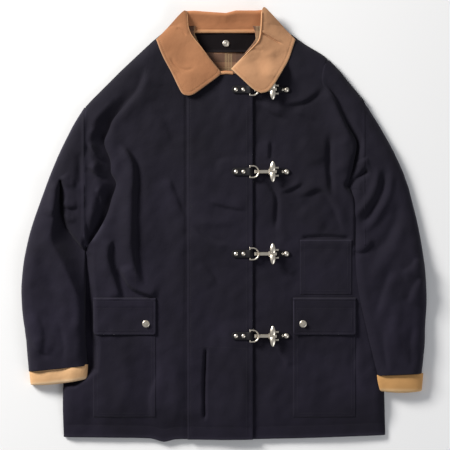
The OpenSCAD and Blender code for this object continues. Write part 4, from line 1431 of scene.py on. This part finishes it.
def make_pockets():
    for name, welted in (("chest_pocket", False), ("left_hip_pocket", True), ("right_hip_pocket", True)):
        low, high = box_mm(name)
        turn = np.linspace(0, 1, 60)
        turn = 0.6 * turn + 0.2 * (1 - np.cos(math.pi * turn))
        x, y = np.meshgrid(low[0] + (high[0] - low[0]) * turn,
                           low[1] + (high[1] - low[1]) * np.linspace(0, 1, 110))
        surface = lambda px, py: pocket_z(px, py, low, high, welted)
        piece = sheet_object(f"{name}_cloth", x, y, surface(x, y), NAVY, 1.3)
        corners = [(low[0], low[1]), (high[0], low[1]), (high[0], high[1]), (low[0], high[1]),
                   (low[0], low[1])]
        mark_wear_and_highlight(piece, [corners[2:4]], 2.2)
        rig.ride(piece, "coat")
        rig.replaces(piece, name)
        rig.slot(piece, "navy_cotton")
        rests = "left_front_cloth" if low[0] > 0 else "right_front_cloth"
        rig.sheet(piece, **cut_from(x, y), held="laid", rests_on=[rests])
        lines = []
        for inset in (3.0, 9.0):
            top = high[1] - (WELT + 2 if welted else 3)
            a, b, c = low[0] + inset, high[0] - inset, low[1] + inset
            lines.append(on_surface([(a, top), (a, (top + c) / 2), (a, c)], surface))
            lines.append(on_surface([(a, c), ((a + b) / 2, c), (b, c)], surface))
            lines.append(on_surface([(b, c), (b, (top + c) / 2), (b, top)], surface))
        if not welted:
            lines.append(on_surface([(low[0] + 3, high[1] - 20), (high[0] - 3, high[1] - 20)], surface))
        else:
            lines.append(on_surface([(low[0] + 2, high[1] - 1.2), (high[0] - 2, high[1] - 1.2)], surface))
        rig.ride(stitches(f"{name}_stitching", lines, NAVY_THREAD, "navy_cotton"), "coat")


def make_flaps():
    for side in ("right", "left"):
        low, high = box_mm(f"{side}_pocket_flap")
        pocket_low, pocket_high = box_mm(f"{side}_hip_pocket")
        u = np.linspace(0, 1, 56)
        u = (0.6 * u + 0.2 * (1 - np.cos(math.pi * u)))[None, :]
        t = np.linspace(0, 1, 44)[:, None]
        x = low[0] + (high[0] - low[0]) * u + 0 * t
        from_side = np.minimum(x - low[0], high[0] - x)
        bottom = low[1] + 7 * (1 - rolled(from_side, 7))
        top = high[1] + 3.0
        y = top + (bottom - top) * t

        def surface(px, py):
            under = pocket_z(px, np.minimum(py, high[1] - 8), pocket_low, pocket_high, False)
            rim = np.minimum(np.minimum(px - low[0], high[0] - px), py - low[1])
            z = under + 3.4 - 1.2 * (1 - rolled(rim, 2.4)) - 0.5 * np.exp(-(((rim - 5) / 1.3) ** 2))
            sag = 0.8 * np.sin(px / 19 + 1) * ease((high[1] - py) / 50)
            return z + 0.9 * ease((high[1] - 30 - py) / 40) + sag

        piece = sheet_object(f"{side}_pocket_flap_cloth", x, y, surface(x, y), NAVY, 2.4)
        flip(piece)
        edge = [(low[0], high[1]), (low[0], low[1]), (high[0], low[1]), (high[0], high[1])]
        mark_wear_and_highlight(piece, [edge], 2.4)
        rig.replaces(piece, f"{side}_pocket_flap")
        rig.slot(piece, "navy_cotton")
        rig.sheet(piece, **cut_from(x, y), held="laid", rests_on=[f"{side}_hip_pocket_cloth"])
        lines = []
        for inset in (4.0, 9.5):
            a, b, c = low[0] + inset, high[0] - inset, low[1] + inset
            lines.append(on_surface([(a, high[1] - 14), (a, (high[1] + c) / 2), (a, c + 3)], surface))
            lines.append(on_surface([(a + 3, c), ((a + b) / 2, c), (b - 3, c)], surface))
            lines.append(on_surface([(b, c + 3), (b, (high[1] + c) / 2), (b, high[1] - 14)], surface))
        lines.append(on_surface([(low[0] + 3, high[1] - 13), ((low[0] + high[0]) / 2, high[1] - 13.5),
                                 (high[0] - 3, high[1] - 13)], surface))
        threads = stitches(f"{side}_flap_stitching", lines, NAVY_THREAD, "navy_cotton")
        for made in (piece, threads):
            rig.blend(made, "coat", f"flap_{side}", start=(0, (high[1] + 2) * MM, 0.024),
                     end=(0, (high[1] - 12) * MM, 0.024))
        cap_low, cap_high = box_mm(f"{side}_flap_snap_cap")
        cx, cy = (cap_low[0] + cap_high[0]) / 2, (cap_low[1] + cap_high[1]) / 2
        level = float(surface(np.array([cx]), np.array([cy]))[0])
        cap = turned(f"{side}_flap_snap", (cx, cy, level - 0.3), SNAP_PROFILE,
                     (cap_high[0] - cap_low[0]) / 2)
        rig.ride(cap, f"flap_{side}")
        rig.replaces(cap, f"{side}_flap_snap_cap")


# ---------------------------------------------------------------- metal
SNAP_PROFILE = [(0, 2.3), (0.18, 2.25), (0.34, 1.95), (0.42, 1.75), (0.52, 1.8), (0.66, 2.1),
                (0.82, 2.05), (0.94, 1.5),
                (1.0, 0.7), (0.97, 0.0)]


def turned(name, centre, profile, radius):
    """A turned cap: profile pairs are the share of the radius and the height in millimetres."""
    count = 40
    rows = smooth([(r * radius, h) for r, h in profile], 0.45)
    vertices, faces = [(centre[0], centre[1], centre[2] + rows[0][1])], []
    for r, h in rows[1:]:
        for step in range(count):
            angle = step * math.tau / count
            vertices.append((centre[0] + r * math.cos(angle), centre[1] + r * math.sin(angle),
                             centre[2] + h))
    for step in range(count):
        faces.append((0, 1 + step, 1 + (step + 1) % count))
    for ring in range(len(rows) - 2):
        for step in range(count):
            a, b = 1 + ring * count + step, 1 + ring * count + (step + 1) % count
            faces.append((a, a + count, b + count, b))
    faces.append(tuple(1 + (len(rows) - 2) * count + step for step in range(count))[::-1])
    piece = new_object(name, vertices, faces, NICKEL)
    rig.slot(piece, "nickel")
    return piece


def make_neck_snap():
    low, high = box_mm("neck_snap")
    cap = turned("neck_snap_cap", ((low[0] + high[0]) / 2, (low[1] + high[1]) / 2, 7.0), SNAP_PROFILE, 7.0)
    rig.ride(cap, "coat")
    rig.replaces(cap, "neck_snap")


def strap_object(name, runs):
    """Flat straps along X. Each run is (path of (x, z), y, width, rounded end: -1, 0 or 1)."""
    vertices, faces = [], []
    half = 1.15
    profile = [(-1, -0.35), (-1, 0.35), (-0.93, 0.85), (-0.8, 1), (0.8, 1), (0.93, 0.85), (1, 0.35),
               (1, -0.35),
               (0.93, -0.85), (0.8, -1), (-0.8, -1), (-0.93, -0.85)]
    for path, y, width, end in runs:
        line = smooth(path, 1.2)
        way = np.gradient(line, axis=0)
        way /= np.linalg.norm(way, axis=1)[:, None]
        normal = np.column_stack([-way[:, 1], way[:, 0]])
        rows = len(line)
        shape = np.ones(rows)
        run = np.concatenate([[0], np.cumsum(np.linalg.norm(np.diff(line, axis=0), axis=1))])
        if end:
            shape = np.sqrt(np.clip(1 - (1 - np.clip(run / (width * 0.5), 0, 1)) ** 2, 0.03, 1))
        first = len(vertices)
        for (px, pz), (nx, nz), size in zip(line, normal, shape):
            for across, up in profile:
                vertices.append((px + nx * up * half, y + across * width / 2 * size, pz + nz * up * half))
        faces += grid_faces(rows, len(profile), True, first)
        faces.append(tuple(first + k for k in range(len(profile)))[::-1])
        faces.append(tuple(first + (rows - 1) * len(profile) + k for k in range(len(profile))))
    piece = new_object(name, vertices, faces, STRAP)
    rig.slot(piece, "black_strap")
    return piece


def make_straps():
    tab_low, tab_high = box_mm("upper_ring_tabs")
    width = 16.0
    bar_x = tab_high[0] - 2.9
    loop = [(tab_low[0], 27.8), (30, 27.8), (bar_x - 7, 27.9), (bar_x - 3.4, 30.2), (bar_x, 32.0),
            (bar_x + 2.6, 29.6), (bar_x + 0.2, 26.9), (bar_x - 5, 26.6)]
    for name, body, which in (("upper_ring_tabs", "coat", (0, 1)),
                              ("lower_ring_tabs", "front_corner", (2, 3))):
        runs = [(loop, CLASPS[n][1], width, 1) for n in which]
        piece = strap_object(f"{name}_strap", runs)
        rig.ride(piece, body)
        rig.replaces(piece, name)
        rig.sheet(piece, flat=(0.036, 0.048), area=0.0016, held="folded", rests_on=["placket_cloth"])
    strap_low, strap_high = box_mm("hook_straps")
    pin_x = strap_low[0] + 2.9
    loop = [(strap_high[0], 22.1), (120, 22.1), (pin_x + 6, 22.3), (pin_x + 3.2, 25.2), (pin_x, 27.0),
            (pin_x - 2.6, 24.8),
            (pin_x - 0.4, 22.2), (pin_x + 4, 21.8)]
    piece = strap_object("hook_straps_strap", [(loop, c[1], 12.0, 1) for c in CLASPS])
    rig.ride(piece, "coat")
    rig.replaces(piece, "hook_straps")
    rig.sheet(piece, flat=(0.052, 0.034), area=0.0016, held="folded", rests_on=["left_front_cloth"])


def make_petals():
    """The finger grips of each lever: two puffed lobes with a soft ridge, over the lever's flat wings."""
    for n, (_, clasp_y, _) in enumerate(CLASPS, 1):
        low, high = box_mm(f"lever_{n}")
        x_mid, top, reach = 96.2, high[2], (high[1] - low[1]) / 2
        vertices, faces = [], []
        for sign in (-1, 1):
            rows, columns = 26, 18
            first = len(vertices)
            for r in range(rows):
                t = r / (rows - 1)
                along = sign * (1.6 + (reach - 1.4) * t)
                half = 5.4 * math.sin(math.pi * (0.14 + 0.86 * t) ** 0.82) ** 0.62 + 0.25
                puff = 2.9 * math.sin(math.pi * min(1, 0.12 + 0.88 * t)) ** 0.55
                for c in range(columns):
                    angle = c * math.tau / columns
                    across, up = math.cos(angle), math.sin(angle)
                    ridge = 0.35 * puff * max(0.0, 1 - abs(across) * 2.6) * (up > 0)
                    height = (puff * max(up, 0) ** 0.8 + ridge) if up > 0 else 0.9 * up
                    vertices.append((x_mid + across * half, clasp_y + along, top - 0.5 + height))
            faces += grid_faces(rows, columns, True, first)
            faces.append(tuple(first + k for k in range(columns))[::-1])
            faces.append(tuple(first + (rows - 1) * columns + k for k in range(columns)))
        piece = new_object(f"lever_{n}_grips", vertices, faces, NICKEL)
        fix_normals(piece)
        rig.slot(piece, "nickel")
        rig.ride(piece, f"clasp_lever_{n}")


def fix_normals(piece):
    work = bmesh.new()
    work.from_mesh(piece.data)
    bmesh.ops.recalc_face_normals(work, faces=work.faces)
    work.to_mesh(piece.data)
    work.free()


def polish_cad():
    """Rounds the sharp edges of the CAD metal for its highlights, and gives it its finish."""
    for name, obj in frame["nodes"].items():
        if not name.startswith(("hook_", "lever_", "dee_", "upper_tab", "lower_tab",
                                "pocket_snap")) or name == "hook_straps":
            continue
        finish = STEEL if name.startswith("lever_spring") else NICKEL
        for slot in obj.material_slots:
            slot.material = finish
        bevel = obj.modifiers.new("rounded", "BEVEL")
        bevel.width = 0.28 * MM
        bevel.segments = 2
        bevel.limit_method = "ANGLE"
        bevel.angle_limit = math.radians(38)
        bevel.harden_normals = False


make_camera()
make_stage()
body = make_body()
placket = make_placket()
shoulders = make_shoulders()
sleeves = make_sleeves()
for piece in (body["right"], body["right_lining"], placket):
    bend_corner(piece)
for side, piece in enumerate(shoulders):
    bend_sleeve(piece, side)
for side, piece in enumerate(sleeves[::2]):
    bend_sleeve(piece, side)
make_leaves()
make_band()
make_stands()
make_seam_stitching()
make_back_stitching()
make_pockets()
make_flaps()
make_neck_snap()
make_straps()
make_petals()
polish_cad()

json.dump({"cad": [list(map(float, v)) for v in cad_bounds],
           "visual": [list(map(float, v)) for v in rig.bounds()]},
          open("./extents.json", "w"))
